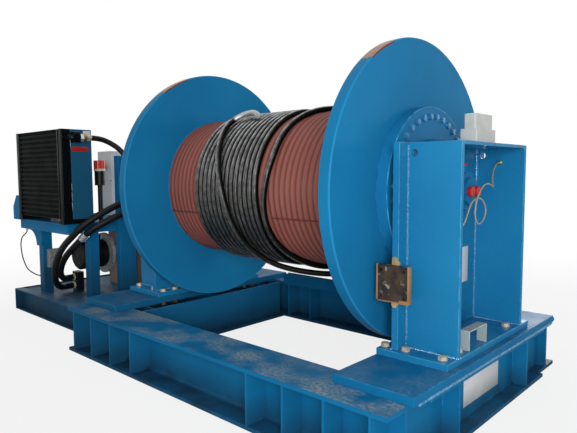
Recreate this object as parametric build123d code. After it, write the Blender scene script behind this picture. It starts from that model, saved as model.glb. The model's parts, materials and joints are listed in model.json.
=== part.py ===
from build123d import *
import math
import os

# Personnel winch: a hydraulic drum winch on a welded skid, with its power unit on the same skid.
# Origin on the floor under the middle of the drum, +X along the drum axis to the drive side, +Y to the rear, +Z up.

# Fits and clearances
SEAT = 0.3               # between curved faces that seat on each other
RUN_FIT = 0.05           # radial, shafts and bearings that turn
SIDE_GAP = 1.0           # axial, beside parts that turn

# Drum
AXIS_Z = 1350.0
FLANGE_R = 970.0
FLANGE_T = 80.0
DRUM_W = 1934.0          # between the flanges
BARREL_R = 556.0
BARREL_WALL = 50.0

# Wire rope
ROPE_D = 44.0
ROPE_PITCH = 49.0
ROPE_SIDES = 4
ROPE_TURNS = 13.5        # regular turns, before the loose ones
ROPE_START_X = -570.0
ROPE_LIFT = 0.5          # above the barrel
LOOSE_LIFT = 5.0         # of the loose turns, above what they lie on
LOOSE_SAG = 15.0         # how far the crossing turn hangs below its layer
LOOSE_LOW = (            # turns past the regular ones, and place along X: on the barrel
    (0.125, 120.0), (0.25, 185.0), (0.375, 275.0), (0.5, 330.0), (0.5625, 255.0), (0.625, 166.0), (0.6875, 144.0),
    (0.75, 174.0), (0.8125, 218.0), (0.875, 222.0), (0.9375, 262.0), (1.0, 340.0), (1.125, 440.0), (1.25, 500.0),
)
LOOSE_CLIMB = (1.375, 480.0)     # off the barrel
LOOSE_CROSS = ((1.5, 340.0), (1.5625, 40.0))     # hanging under the drum
LOOSE_HIGH = ((1.625, -118.0), (1.6875, -170.0), (1.75, -220.0), (1.8125, -308.0), (1.875, -392.0), (1.89, -396.0))
HOOK_X = 255.0           # the bent end, along X
HOOK_ON = 93.0           # and on past the last turn
CLAMP_L = 86.0
CLAMP_W = 80.0
CLAMP_H = 64.0

# Gearbox: one planetary stage, its ring turns with the drum and its carrier is fixed
MODULE = 14.0
RING_TEETH = 42
SUN_TEETH = 12
PLANET_TEETH = 15
PLANET_COUNT = 3
PRESSURE_ANGLE = math.radians(20)
BACKLASH = 1.0
TIP_RELIEF = 1.0
TOOTH_W = 90.0
GEAR_BACK = 150.0        # behind the main bearing
RING_RIM = 30.0
HUB_WALL = 44.0
HUB_END_T = 35.0
HUB_FLANGE_R = 535.0
HUB_FLANGE_T = 80.0
HUB_BOLT_COUNT = 36
HUB_BOLT_R = 470.0
HUB_BOLT_AF = 36.0
HUB_BOLT_H = 15.0
SPINDLE_R = 200.0
SPINDLE_FLANGE_R = 330.0
SPINDLE_FLANGE_T = 40.0
CARRIER_R = 262.0
CARRIER_T = 45.0
PIN_R = 35.0
SUN_SHAFT_R = 50.0
HUB_BEARING_R = 290.0
HUB_BEARING_W = 88.0

# Pedestals
PLATE_X = 1184.0         # inner face of the bearing plates
PLATE_T = 42.0
PLATE_HALF_W = 565.0
SIDE_IN = 95.0           # side plates, from the bearing plates' edges
SIDE_T = 30.0
PEDESTAL_END = 1549.0
PEDESTAL_TOP = 1640.0
TOP_T = 20.0
BASE_T = 40.0
BASE_IN = 85.0           # base plate, inboard of the bearing plate
BASE_OVER = 27.0         # base plate, past the bearing plate's sides
LIFT_HOLE_R = 21.0
LIFT_HOLE_IN = 61.0      # from the top and from the bearing plate's centre
BOLT_AF = 46.0
BOLT_HEAD_H = 19.0
NUT_H = 24.0
WASHER_R = 28.0
WASHER_T = 4.0
BOLT_OUT = 60.0          # bolt lines, away from the plates
BOLT_EDGE = 62.0         # outer bolt lines, from the base plates' edges

# Idle end bearing
STUB_R = 110.0
STUB_FLANGE_R = 300.0
STUB_FLANGE_T = 45.0
BEARING_R = 170.0
BEARING_W = 90.0
HOUSING_R = 210.0
HOUSING_FLANGE_R = 280.0
HOUSING_FLANGE_T = 35.0
HOUSING_OUT = 62.0       # past the plate's outer face
CAP_T = 25.0

# Drive, in the drive pedestal
BRAKE_R = 165.0
BRAKE_L = 60.0
MOTOR_R = 120.0
MOTOR_L = 84.0
MOTOR_COVER_R = 85.0
MOTOR_COVER_L = 24.0
PORT_R = 24.0
PORT_L = 40.0
PORT_SINK = 12.0
PORT_CAP_R = 32.0
PORT_CAP_L = 28.0

# Fittings on the drive pedestal
PAD_W = 210.0
PAD_T = 30.0
PAD_Z = 840.0
PAD_HOLES = 150.0
PAD_HOLE_R = 9.0
BOX_X = 1380.0
BOX_L = 105.0            # along X
BOX_W = 270.0
BOX_H = 82.0
BOX_LID_H = 90.0
BOX_STEP = 15.0
BOX_Y = -15.0
GUARD_IN = 290.0         # middle, from the front side plate's face
GUARD_L = 240.0
GUARD_H = 115.0
GUARD_W = 60.0
GUARD_T = 8.0

# Skid
BEAM_H = 360.0
BEAM_W = 340.0
BEAM_WEB = 20.0
BEAM_FLANGE = 25.0
BEAM_ROOT = 22.0
BEAM_HALF_L = 1550.0
FRONT_BEAM_Y = -1009.0
REAR_BEAM_Y = 985.0
STIFFENER_T = 15.0
STIFFENER_SNIPE = 26.0
STIFFENER_IN = (95.0, 375.0, 658.0, 940.0)    # from the beam's ends
ANCHOR_IN = 250.0        # from the beam's ends
ANCHOR_Y = 1100.0
ANCHOR_R = 18.0
DECK_T = 50.0
DECK_IN = 1096.0
DECK_OVER = 38.0         # past the beam's ends
DECK_HALF_L = 1006.0
GIRDER_IN = 950.0        # inner edge of the girders' bottom flange
GIRDER_WEB_IN = 1008.0
GIRDER_WEB_OUT = 1489.0
GIRDER_WEB = 20.0
GIRDER_LOW = 15.0        # inner web's top, below the beams' top
GIRDER_RIB_Y = (-523.0, 485.0)
DIAPHRAGM_Y = (-670.0, 0.0, 650.0)
DUCT_W = 75.0
DUCT_H = 80.0
DUCT_T = 5.0
DUCT_X = (-960.0, 1000.0)

# Power unit: floor frame, stand and shelf
POWER_END = -3370.0
POWER_FRONT = -900.0
POWER_REAR = 420.0
CHANNEL_H = 220.0
CHANNEL_W = 80.0
CHANNEL_T = 12.0
FLOOR_T = 12.0
LEG_W = 100.0
LEG_WALL = 8.0
SHELF_X = (-3330.0, -2245.0)
SHELF_Y = (-825.0, 290.0)
SHELF_TOP = 975.0
RAIL_H = 95.0
RAIL_W = 80.0
SHELF_T = 10.0
SHELF_OVER = 90.0        # plate, past the rails at the left end
SHELF_LIP = 35.0         # plate, past the front rail
BRACKET_T = 10.0         # upright bracket on the left end
BRACKET_H = 250.0
BRACKET_LOW = 128.0
BRACKET_TOP_W = 98.0
FRONT_LEGS = ((-3050.0, -686.0), (-2312.0, -544.0))
REAR_LEGS = ((-3250.0, 240.0), (-2312.0, 240.0))
GUSSET = 180.0
GUSSET_EDGE = 22.0       # left at the ends of the gusset's arc

# Oil cooler on the shelf
COOLER_X = (-3235.0, -2207.0)
COOLER_FRONT = -873.0
COOLER_FOOT = 45.0
COOLER_H = 855.0
TANK_W = 62.0
TANK_D = 92.0
CORE_D = 74.0
CORE_BAR_COUNT = 18
CORE_SLOT = 12.0
SHROUD_D = 210.0
SHROUD_T = 6.0
FAN_R = 372.0
FAN_TIP_GAP = 10.0
FAN_HUB_R = 70.0
FAN_W = 70.0
FAN_BLADE_COUNT = 7
BLADE_W = 105.0
BLADE_T = 7.0
BLADE_PITCH = 32.0
FAN_SHAFT_R = 14.0
FAN_MOTOR_R = 95.0
FAN_MOTOR_L = 210.0
GUARD_BAR = 12.0
GUARD_RING_COUNT = 3

# Motor and pump set under the shelf
SET_X = -2620.0
SET_Z = 615.0
EMOTOR_Y = (-500.0, -259.0)
EMOTOR_R = 138.0
EMOTOR_FIN_COUNT = 16
EMOTOR_FIN_H = 12.0
EMOTOR_FOOT_L = 80.0
EMOTOR_FOOT_W = 90.0
TERMINAL_L = 120.0
TERMINAL_W = 130.0
TERMINAL_H = 70.0
COWL_R = 150.0
COWL_L = 45.0
COWL_EDGE = 18.0
BELL_FLANGE_R = 215.0
BELL_FLANGE_T = 30.0
BELL_R = 120.0
BELL_L = 110.0
PUMP_R = 92.0
PUMP_L = 140.0
PUMP_FLANGE_T = 40.0
TANK_X = (-3000.0, -2410.0)
TANK_Y = (20.0, 335.0)
TANK_H = 600.0

# Return filter and control panel on the shelf, hose bulkhead on a post
FILTER_AT = (-2344.0, -420.0)
FILTER_R = 50.0
FILTER_Z = (1345.0, 1490.0)
FILTER_PIPE_R = 24.0
FILTER_RING_H = 22.0
FILTER_CAP_R = 57.0
FILTER_CAP_H = 84.0
FILTER_RIB_COUNT = 14
RIB_DEPTH = 5.0
PANEL_X = (-3008.0, -2718.0)
PANEL_Y = (-60.0, 90.0)
PANEL_Z = (1066.0, 1709.0)
PANEL_WALL = 4.0
PANEL_FOOT = 50.0
DOOR_T = 14.0
HINGE_PIN_R = 6.0
KNUCKLE_R = 10.0
KNUCKLE_L = 160.0        # door knuckle, in the middle of the door
LUG_L = 60.0             # panel lugs above and below it
LEAF_T = 8.0             # hinge leaf
KNOB_R = 50.0
KNOB_H = 30.0
KNOB_BASE = 6.0
KNOB_DROP = 149.0        # below the panel's top
GRIP_W = 16.0
KNOB_PIN_R = 8.0
POST_X = (-2185.0, -2110.0)
POST_Y = (-350.0, -170.0)
POST_TOP = 1640.0
BULKHEAD_T = 16.0
BULKHEAD_IN = 45.0       # from the post's rear face
BULKHEAD_L = 185.0
BULKHEAD_Z = (1030.0, 1330.0)
MANIFOLD_X = (-2905.0, -2785.0)
MANIFOLD_Y = (-470.0, -400.0)
MANIFOLD_TOP = 408.0
ELBOW_R = 24.0
VALVE_L = 60.0           # valve on the left front leg, along X
VALVE_Y = (-700.0, -560.0)
VALVE_Z = (470.0, 665.0)
VALVE_PORT_AF = 42.0
VALVE_PORT_L = 40.0

# Hoses and cables: outside diameters and routes
HOSE_D = 64.0
HOSE_SIDES = 5
CABLE_SIDES = 3
COOLER_HOSE_D = 52.0
CABLE_D = 12.0
SENSOR_D = 9.0
PRESSURE_ROUTE = [
    (-2030, -265, 1185), (-2030, -345, 1185), (-2045, -440, 1142), (-2065, -560, 1084), (-2100, -664, 1020),
    (-2150, -748, 945), (-2205, -795, 868), (-2320, -808, 795), (-2470, -800, 695), (-2570, -803, 572),
    (-2625, -795, 440), (-2690, -745, 330), (-2780, -655, 275), (-2845, -580, 262), (-2845, -500, 262),
]
RETURN_ROUTE = [
    (-1975, -265, 1098), (-1975, -345, 1098), (-1998, -440, 1052), (-2030, -550, 1000), (-2080, -650, 940),
    (-2150, -708, 865), (-2270, -712, 790), (-2415, -706, 715), (-2555, -712, 622), (-2655, -715, 502),
    (-2715, -690, 415), (-2778, -630, 364), (-2845, -580, 352), (-2845, -500, 352),
]
COOLER_ROUTE = [
    (-2166, -600, 1806), (-2166, -510, 1806), (-2145, -410, 1768), (-2105, -330, 1706), (-2058, -285, 1625),
    (-2025, -250, 1540), (-2015, -232, 1450), (-2015, -232, 1372),
]
CABLE_ROUTE = [
    (-3275, -780, 880), (-3275, -780, 838), (-3330, -788, 806), (-3405, -793, 762), (-3443, -790, 680),
    (-3425, -790, 590), (-3375, -790, 500), (-3305, -780, 415), (-3215, -730, 365), (-3160, -690, 352),
    (-3100, -690, 352),
]
SENSOR_ENDS = ((1390.0, 1530.0), (1448.0, 1176.0))    # on the rear and front side plates
SENSOR_OUT = (50.0, 70.0)                             # straight out of them
SENSOR_ROUTE = [
    (1386, 335, 1480), (1400, 290, 1410), (1436, 228, 1366), (1458, 140, 1390),
    (1470, 30, 1402), (1480, -75, 1364), (1488, -150, 1290), (1490, -168, 1212), (1486, -115, 1158),
    (1480, -35, 1168), (1476, 28, 1222), (1472, 5, 1288), (1468, -70, 1322), (1462, -150, 1296),
    (1458, -190, 1228), (1456, -232, 1165), (1452, -300, 1140),
]


def block(x, y, z):
    """Box between two planes on each axis."""
    size = [abs(span[1] - span[0]) for span in (x, y, z)]
    middle = [(span[0] + span[1]) / 2 for span in (x, y, z)]
    return Pos(*middle) * Box(*size)


def rod(axis, radius, span, at):
    """Cylinder along X, Y or Z between two planes; at gives the other two coordinates, in X, Y, Z order."""
    turn = {"X": Rot(0, 90, 0), "Y": Rot(90, 0, 0), "Z": Rot(0, 0, 0)}[axis]
    spot = list(at)
    spot.insert("XYZ".index(axis), (span[0] + span[1]) / 2)
    return Pos(*spot) * turn * Cylinder(radius, abs(span[1] - span[0]))


def turned(points, y=0.0, z=AXIS_Z):
    """Solid of revolution about an axis along X; each point is a place along X and a radius."""
    outline = Polyline(*[(x, 0, radius) for x, radius in points], close=True)
    return Pos(0, y, z) * revolve(make_face(outline), Axis.X, 360)


def prism(axis, radius, sides, span, at):
    """Prism with a regular outline along X, Y or Z; radius is to its corners."""
    body = extrude(RegularPolygon(radius, sides), abs(span[1] - span[0]))
    turn = {"X": Rot(0, 90, 0), "Y": Rot(-90, 0, 0), "Z": Rot(0, 0, 0)}[axis]
    spot = list(at)
    spot.insert("XYZ".index(axis), min(span))
    return Pos(*spot) * turn * body


def hexagon(axis, flats, span, at):
    """Hexagonal prism, for bolt heads and nuts."""
    return prism(axis, flats / math.sqrt(3), 6, span, at)


def sided(side, *values):
    """The same places along X on the drive side (side 1) or mirrored to the idle side (side -1)."""
    return tuple(sorted(side * value for value in values))


def save(name, *pieces):
    """Write one node with all the solids of the pieces given."""
    solids = [solid for piece in pieces for solid in piece.solids()]
    export_step(Compound(solids), os.path.join("parts", name + ".step"))


def tube_path(name, points):
    """Straight runs joined by arcs as large as the runs allow; prints the radii."""
    spots = [Vector(*point) for point in points]
    radii = []
    for before, here, after in zip(spots, spots[1:], spots[2:]):
        turn = math.radians((here - before).get_angle(after - here))
        radii.append(0.45 * min((here - before).length, (after - here).length) / math.tan(turn / 2))
    print(name, "bend radii", [round(radius) for radius in radii])
    return FilletPolyline(*spots, radius=radii)


def tube(name, points, diameter, sides):
    """Hose or cable of a round section, drawn with flat sides, along a route."""
    path = tube_path(name, points)
    section = Plane(path @ 0, z_dir=path % 0) * RegularPolygon(diameter / 2, sides)
    body = sweep(section, path=path)
    print(name, "length", round(path.length), "volume share", round(body.volume / (section.area * path.length), 4))
    return body


# Drum barrel
drum_half = DRUM_W / 2
rope_r = ROPE_D / 2
layer_r = BARREL_R + rope_r + ROPE_LIFT
barrel_in = BARREL_R - BARREL_WALL
barrel = turned([(-drum_half, barrel_in), (-drum_half, BARREL_R), (drum_half, BARREL_R), (drum_half, barrel_in)])

# Gear sizes
planet_r = MODULE * PLANET_TEETH / 2
sun_r = MODULE * SUN_TEETH / 2
ring_r = MODULE * RING_TEETH / 2
planet_orbit = sun_r + planet_r
ring_outer = ring_r + 1.25 * MODULE + RING_RIM
hub_r = ring_outer + HUB_WALL

# Flanges
flange_out = drum_half + FLANGE_T


drive_bore = hub_r + SEAT
drive_flange = turned([
    (drum_half, drive_bore), (drum_half, FLANGE_R), (flange_out, FLANGE_R), (flange_out, drive_bore),
])
idle_flange = turned([(-flange_out, 0), (-flange_out, FLANGE_R), (-drum_half, FLANGE_R), (-drum_half, 0)])

# Gearbox hub, bolted to the outer face of the drive flange; the ring gear seats inside it
hub_face = flange_out + HUB_FLANGE_T
bearing_x = (hub_face - 38 - HUB_BEARING_W, hub_face - 38)
gear_x = (bearing_x[0] - GEAR_BACK - TOOTH_W, bearing_x[0] - GEAR_BACK)
ring_x = (gear_x[0] - 10, gear_x[1] + 10)
hub_end = ring_x[0] - HUB_END_T
gearbox_hub = turned([
    (hub_end, 0), (hub_end, hub_r), (flange_out, hub_r), (flange_out, HUB_FLANGE_R), (hub_face, HUB_FLANGE_R),
    (hub_face, HUB_BEARING_R), (bearing_x[0] - SIDE_GAP, HUB_BEARING_R), (bearing_x[0] - SIDE_GAP, ring_outer + SEAT),
    (ring_x[0], ring_outer + SEAT), (ring_x[0], 0),
])


def around(count, radius, first=0.0):
    """Places on a circle round the drum axis, as (Y, Z)."""
    for k in range(count):
        angle = first + 2 * math.pi * k / count
        yield radius * math.cos(angle), AXIS_Z + radius * math.sin(angle)


hub_bolt_span = (hub_face, hub_face + HUB_BOLT_H)
hub_bolts = [hexagon("X", HUB_BOLT_AF, hub_bolt_span, spot) for spot in around(HUB_BOLT_COUNT, HUB_BOLT_R)]


def involute(angle):
    return math.tan(angle) - angle


def tooth_half_angle(radius, teeth, thinner):
    """Half the angle of a tooth at a radius, for involute flanks."""
    pitch_r = MODULE * teeth / 2
    base_r = pitch_r * math.cos(PRESSURE_ANGLE)
    local = math.acos(min(1.0, base_r / radius))
    middle = math.pi / (2 * teeth) - thinner / (2 * pitch_r)
    return middle + involute(PRESSURE_ANGLE) - involute(local)


def gear_face(teeth, tip_r, root_r, thinner):
    """Outline of a spur gear with a tooth on +Y; each flank has two flats between points of the involute."""
    start_r = max(root_r, MODULE * teeth / 2 * math.cos(PRESSURE_ANGLE))
    levels = (start_r, (start_r + tip_r) / 2, tip_r)
    half = [tooth_half_angle(radius, teeth, thinner) for radius in levels]
    points = []
    for k in range(teeth):
        middle = 2 * math.pi * k / teeth
        points.append(polar(root_r, middle - half[0]))
        points += [polar(radius, middle - part) for radius, part in zip(levels, half)]
        points += [polar(radius, middle + part) for radius, part in zip(levels[::-1], half[::-1])]
        points.append(polar(root_r, middle + half[0]))
    distinct = [point for k, point in enumerate(points) if math.dist(point, points[k - 1]) > 1e-6]
    return make_face(Polyline(*distinct, close=True))


def polar(radius, angle):
    return (radius * math.cos(angle), radius * math.sin(angle))


def gear_solid(face, span, at, turn):
    """Extrude a gear outline along X; turn is the direction of its first tooth, from +Y towards +Z."""
    upright = Plane(origin=(span[0], at[0], at[1]), x_dir=(0, 1, 0), z_dir=(1, 0, 0))
    return extrude(upright * Rot(0, 0, math.degrees(turn)) * face, span[1] - span[0])


def gear_tips(pitch_r):
    return pitch_r + MODULE - TIP_RELIEF, pitch_r - 1.25 * MODULE


top = math.pi / 2
planet_angles = [top + 2 * math.pi * k / PLANET_COUNT for k in range(PLANET_COUNT)]
planet_spots = [(planet_orbit * math.cos(a), AXIS_Z + planet_orbit * math.sin(a)) for a in planet_angles]
planet_face = gear_face(PLANET_TEETH, *gear_tips(planet_r), BACKLASH / 2)
planet_gears = [
    gear_solid(planet_face, gear_x, spot, angle) - rod("X", PIN_R + RUN_FIT, gear_x, spot)
    for spot, angle in zip(planet_spots, planet_angles)
]
brake_x = (PLATE_X + PLATE_T, PLATE_X + PLATE_T + BRAKE_L)
sun_face = gear_face(SUN_TEETH, *gear_tips(sun_r), BACKLASH / 2)
sun_gear = gear_solid(sun_face, gear_x, (0, AXIS_Z), top)
sun_gear += rod("X", SUN_SHAFT_R, (gear_x[1], brake_x[1] - SIDE_GAP), (0, AXIS_Z))
space_tip = ring_r + 1.25 * MODULE
space_root = ring_r - MODULE + TIP_RELIEF
ring_space = gear_face(RING_TEETH, space_tip, space_root, -BACKLASH / 2)
ring_gear = rod("X", ring_outer, ring_x, (0, AXIS_Z)) - gear_solid(ring_space, ring_x, (0, AXIS_Z), top)

# Fixed spindle: flange on the bearing plate, hollow tube, planet carrier and its pins
carrier_x = (gear_x[1] + SIDE_GAP, gear_x[1] + SIDE_GAP + CARRIER_T)
spindle_bore = SUN_SHAFT_R + RUN_FIT
spindle = turned([
    (carrier_x[0], spindle_bore), (carrier_x[0], CARRIER_R), (carrier_x[1], CARRIER_R), (carrier_x[1], SPINDLE_R),
    (PLATE_X - SPINDLE_FLANGE_T, SPINDLE_R), (PLATE_X - SPINDLE_FLANGE_T, SPINDLE_FLANGE_R),
    (PLATE_X, SPINDLE_FLANGE_R), (PLATE_X, spindle_bore),
])
for spot in planet_spots:
    spindle += rod("X", PIN_R, (gear_x[0], carrier_x[0]), spot)
hub_bearing = turned([
    (bearing_x[0], SPINDLE_R + RUN_FIT), (bearing_x[0], HUB_BEARING_R - RUN_FIT),
    (bearing_x[1], HUB_BEARING_R - RUN_FIT), (bearing_x[1], SPINDLE_R + RUN_FIT),
])

# Stub shaft at the idle end, flanged to the drum, in a roller bearing in its housing
plate_out = PLATE_X + PLATE_T
housing_end = plate_out + HOUSING_OUT
stub_flange_x = -(flange_out + STUB_FLANGE_T)
stub_shaft = turned([
    (-flange_out, 0), (-flange_out, STUB_FLANGE_R), (stub_flange_x, STUB_FLANGE_R), (stub_flange_x, STUB_R),
    (-housing_end + SIDE_GAP, STUB_R), (-housing_end + SIDE_GAP, 0),
])
roller_x = (-housing_end + 20, -housing_end + 20 + BEARING_W)
roller_bearing = turned([
    (roller_x[0], STUB_R + RUN_FIT), (roller_x[0], BEARING_R - RUN_FIT), (roller_x[1], BEARING_R - RUN_FIT),
    (roller_x[1], STUB_R + RUN_FIT),
])
housing_flange_x = -PLATE_X + HOUSING_FLANGE_T
bearing_housing = turned([
    (-housing_end, BEARING_R), (-housing_end, HOUSING_R), (-PLATE_X, HOUSING_R), (-PLATE_X, HOUSING_FLANGE_R),
    (housing_flange_x, HOUSING_FLANGE_R), (housing_flange_x, BEARING_R),
])
cap_x = -housing_end - CAP_T
bearing_cap = turned([(cap_x, 0), (cap_x, HOUSING_R), (-housing_end, HOUSING_R), (-housing_end, 0)])

# Wire rope: regular turns, then loose ones that wander, hang under the drum and come back over the others
loose_r = layer_r + ROPE_D + LOOSE_LIFT
stations = [(k / 2, ROPE_START_X + ROPE_PITCH * k / 2, layer_r) for k in range(int(2 * ROPE_TURNS) + 1)]
for places, radius in (
    (LOOSE_LOW, layer_r + LOOSE_LIFT), ((LOOSE_CLIMB,), (layer_r + loose_r) / 2),
    (LOOSE_CROSS, loose_r + LOOSE_SAG), (LOOSE_HIGH, loose_r),
):
    stations += [(ROPE_TURNS + turn, x, radius) for turn, x in places]


def rope_point(turn, x, radius):
    """Place on the drum; turns count from the bottom, up the front."""
    angle = 2 * math.pi * turn
    return Vector(x, -radius * math.sin(angle), AXIS_Z - radius * math.cos(angle))


def rope_heading(k):
    """Direction of the rope at a station, from the stations beside it."""
    turn, x, radius = stations[k]
    before = stations[max(k - 1, 0)]
    after = stations[min(k + 1, len(stations) - 1)]
    step = after[0] - before[0]
    slope = (after[1] - before[1]) / step
    growth = (after[2] - before[2]) / step
    angle = 2 * math.pi * turn
    outward = Vector(0, -math.sin(angle), -math.cos(angle))
    along = Vector(0, -math.cos(angle), math.sin(angle))
    return (Vector(1, 0, 0) * slope + outward * growth + along * (2 * math.pi * radius)).normalized()


def biarc(p0, t0, p1, t1):
    """Two tangent arcs that join two places with given directions."""
    chord = p1 - p0
    lean = chord.dot(t0 + t1)
    spread = 2 * (1 - t0.dot(t1))
    reach = (math.sqrt(lean * lean + spread * chord.dot(chord)) - lean) / spread
    joint = (p0 + p1 + (t0 - t1) * reach) / 2
    first = TangentArc(p0, joint, tangent=t0)
    return [first, TangentArc(joint, p1, tangent=first % 1)]


rope_spots = [rope_point(*station) for station in stations]
headings = [rope_heading(k) for k in range(len(stations))]
rope_start = rope_spots[0] - headings[0] * ROPE_D
rope_edges = [Line(rope_start, rope_spots[0])]
for k in range(len(stations) - 1):
    rope_edges += biarc(rope_spots[k], headings[k], rope_spots[k + 1], headings[k + 1])
rope_end = rope_spots[-1] + Vector(HOOK_X, 0, 0) + headings[-1] * HOOK_ON
rope_edges.append(TangentArc(rope_spots[-1], rope_end, tangent=headings[-1]))
rope_wire = Wire(rope_edges)
rope_section = Plane(rope_start, z_dir=headings[0]) * RegularPolygon(rope_r, ROPE_SIDES)
wire_rope = sweep(rope_section, path=rope_wire, clean=False)


def rope_gap():
    """Least gap between turns, measured on points along the rope."""
    per_edge = 24
    points = [edge @ (k / per_edge) for edge in rope_edges for k in range(per_edge)]
    reach = []
    travelled = 0.0
    for k, point in enumerate(points):
        travelled += (point - points[k - 1]).length if k else 0.0
        reach.append(travelled)
    least = math.inf
    for i, point in enumerate(points):
        for j in range(i):
            if reach[i] - reach[j] > 4 * ROPE_D and abs(point.X - points[j].X) < 3 * ROPE_D:
                least = min(least, (point - points[j]).length)
    return least - ROPE_D


print("wire rope length", round(rope_wire.length), "least gap to itself", round(rope_gap(), 2))
clamp_top = AXIS_Z - BARREL_R + CLAMP_H
clamp_z = (AXIS_Z - BARREL_R - CLAMP_H, clamp_top)
clamp_y = (ROPE_D + 2 * SEAT, ROPE_D + CLAMP_L)
clamp_x = (ROPE_START_X + rope_r - CLAMP_W, ROPE_START_X + rope_r)
rope_clamp = block(clamp_x, clamp_y, clamp_z) - rod("X", BARREL_R + SEAT, clamp_x, (0, AXIS_Z))

# Skid beams: rolled sections with stiffeners between the flanges
deck_end = BEAM_HALF_L + DECK_OVER


def h_profile(width, depth, web, thick, root):
    """Rolled H section, standing on the X axis of its own plane."""
    w, t = width / 2, web / 2
    outline = Polyline(
        (-w, 0), (w, 0), (w, thick), (t, thick), (t, depth - thick), (w, depth - thick),
        (w, depth), (-w, depth), (-w, depth - thick), (-t, depth - thick), (-t, thick), (-w, thick), close=True,
    )
    face = make_face(outline)
    inner = face.vertices().filter_by(lambda v: abs(abs(v.X) - t) < 1e-6)
    return fillet(inner, root)


def stiffener(width, depth, snipe):
    """Web stiffener with its inner corners cut off, clear of the root fillets."""
    return make_face(Polyline(
        (0, snipe), (snipe, 0), (width, 0), (width, depth), (snipe, depth), (0, depth - snipe), close=True,
    ))


def long_beam(y, sides):
    """Beam along X with stiffeners on the sides given, and anchor holes in its bottom flange."""
    end = Plane(origin=(-BEAM_HALF_L, y, 0), x_dir=(0, 1, 0), z_dir=(1, 0, 0))
    beam = extrude(end * h_profile(BEAM_W, BEAM_H, BEAM_WEB, BEAM_FLANGE, BEAM_ROOT), 2 * BEAM_HALF_L)
    rib = stiffener((BEAM_W - BEAM_WEB) / 2, BEAM_H - 2 * BEAM_FLANGE, STIFFENER_SNIPE)
    for side in sides:
        for inset in STIFFENER_IN:
            for x in (inset - BEAM_HALF_L, BEAM_HALF_L - inset):
                origin = (x - side * STIFFENER_T / 2, y + side * BEAM_WEB / 2, BEAM_FLANGE)
                beam += extrude(Plane(origin, x_dir=(0, side, 0), z_dir=(side, 0, 0)) * rib, STIFFENER_T)
    for x in (ANCHOR_IN - BEAM_HALF_L, BEAM_HALF_L - ANCHOR_IN):
        beam -= rod("Z", ANCHOR_R, (0, BEAM_FLANGE), (x, math.copysign(ANCHOR_Y, y)))
    return beam


front_beam = long_beam(FRONT_BEAM_Y, (-1,))
rear_beam = long_beam(REAR_BEAM_Y, (-1, 1))

# Cross girders between the beams: bottom flange, two webs, ribs across them and a seat for the deck
girder_y = (FRONT_BEAM_Y + BEAM_W / 2, REAR_BEAM_Y - BEAM_W / 2)
web_y = (FRONT_BEAM_Y + BEAM_WEB / 2, REAR_BEAM_Y - BEAM_WEB / 2)
web_z = (BEAM_FLANGE, BEAM_H - BEAM_FLANGE)
deck_z = (BEAM_H, BEAM_H + DECK_T)
base_z = (deck_z[1], deck_z[1] + BASE_T)
nut_clear = WASHER_R + 6
inner_bolt_x = PLATE_X - BOLT_OUT
girder_seat = inner_bolt_x + nut_clear


def coped_web(length, depth, snipe):
    """Web plate with its four corners cut off."""
    return make_face(Polyline(
        (0, snipe), (snipe, 0), (length - snipe, 0), (length, snipe), (length, depth - snipe),
        (length - snipe, depth), (snipe, depth), (0, depth - snipe), close=True,
    ))


def cross_girder(side):
    """Girder under one pedestal, with ribs outside its outer web."""
    webs = (GIRDER_WEB_IN, GIRDER_WEB_IN + GIRDER_WEB, GIRDER_WEB_OUT - GIRDER_WEB, GIRDER_WEB_OUT)
    girder = block(sided(side, GIRDER_IN, deck_end), girder_y, (0, BEAM_FLANGE))
    girder += block(sided(side, webs[0], webs[1]), girder_y, (BEAM_FLANGE, BEAM_H - GIRDER_LOW))
    edge = Plane(origin=(side * webs[2], web_y[0], web_z[0]), x_dir=(0, 1, 0), z_dir=(1, 0, 0))
    girder += extrude(edge * coped_web(web_y[1] - web_y[0], web_z[1] - web_z[0], STIFFENER_SNIPE), side * GIRDER_WEB)
    girder += block(sided(side, girder_seat, deck_end), girder_y, (web_z[1], BEAM_H))
    outer = stiffener(deck_end - webs[3], web_z[1] - web_z[0], STIFFENER_SNIPE / 2)
    for y in DIAPHRAGM_Y:
        girder += block(sided(side, webs[1], webs[2]), (y, y + STIFFENER_T), web_z)
    for y in GIRDER_RIB_Y:
        corner = Plane(origin=(side * webs[3], y, BEAM_FLANGE), x_dir=(side, 0, 0), z_dir=(0, -side, 0))
        girder += extrude(corner * outer, -side * STIFFENER_T)
    return girder


# Pedestal base bolts: places on the drive side, mirrored to the others
side_y = PLATE_HALF_W - SIDE_IN
side_in = side_y - SIDE_T
base_half = PLATE_HALF_W + BASE_OVER
outer_bolt_y = base_half - BOLT_EDGE
bolt_spots = [
    (inner_bolt_x, outer_bolt_y), (inner_bolt_x, side_y - BOLT_OUT),
    (plate_out + WASHER_R + 4, outer_bolt_y), (PEDESTAL_END - BOLT_OUT, outer_bolt_y),
    (PEDESTAL_END - BOLT_OUT, side_y - 2 * BOLT_OUT),
]
all_bolts = [(sx * x, sy * y) for x, y in bolt_spots for sx in (1, -1) for sy in (1, -1)]


def base_bolt(x, y):
    """Head and washer on the base plate; a washer and nut where the deck overhangs its girder."""
    head_z = base_z[1] + WASHER_T
    bolt = [
        prism("Z", WASHER_R, 8, (base_z[1], head_z), (x, y)),
        hexagon("Z", BOLT_AF, (head_z, head_z + BOLT_HEAD_H), (x, y)),
    ]
    if abs(x) < girder_seat:
        nut_z = deck_z[0] - WASHER_T
        bolt.append(prism("Z", WASHER_R, 8, (nut_z, deck_z[0]), (x, y)))
        bolt.append(hexagon("Z", BOLT_AF, (nut_z - NUT_H, nut_z), (x, y)))
    return bolt


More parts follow.
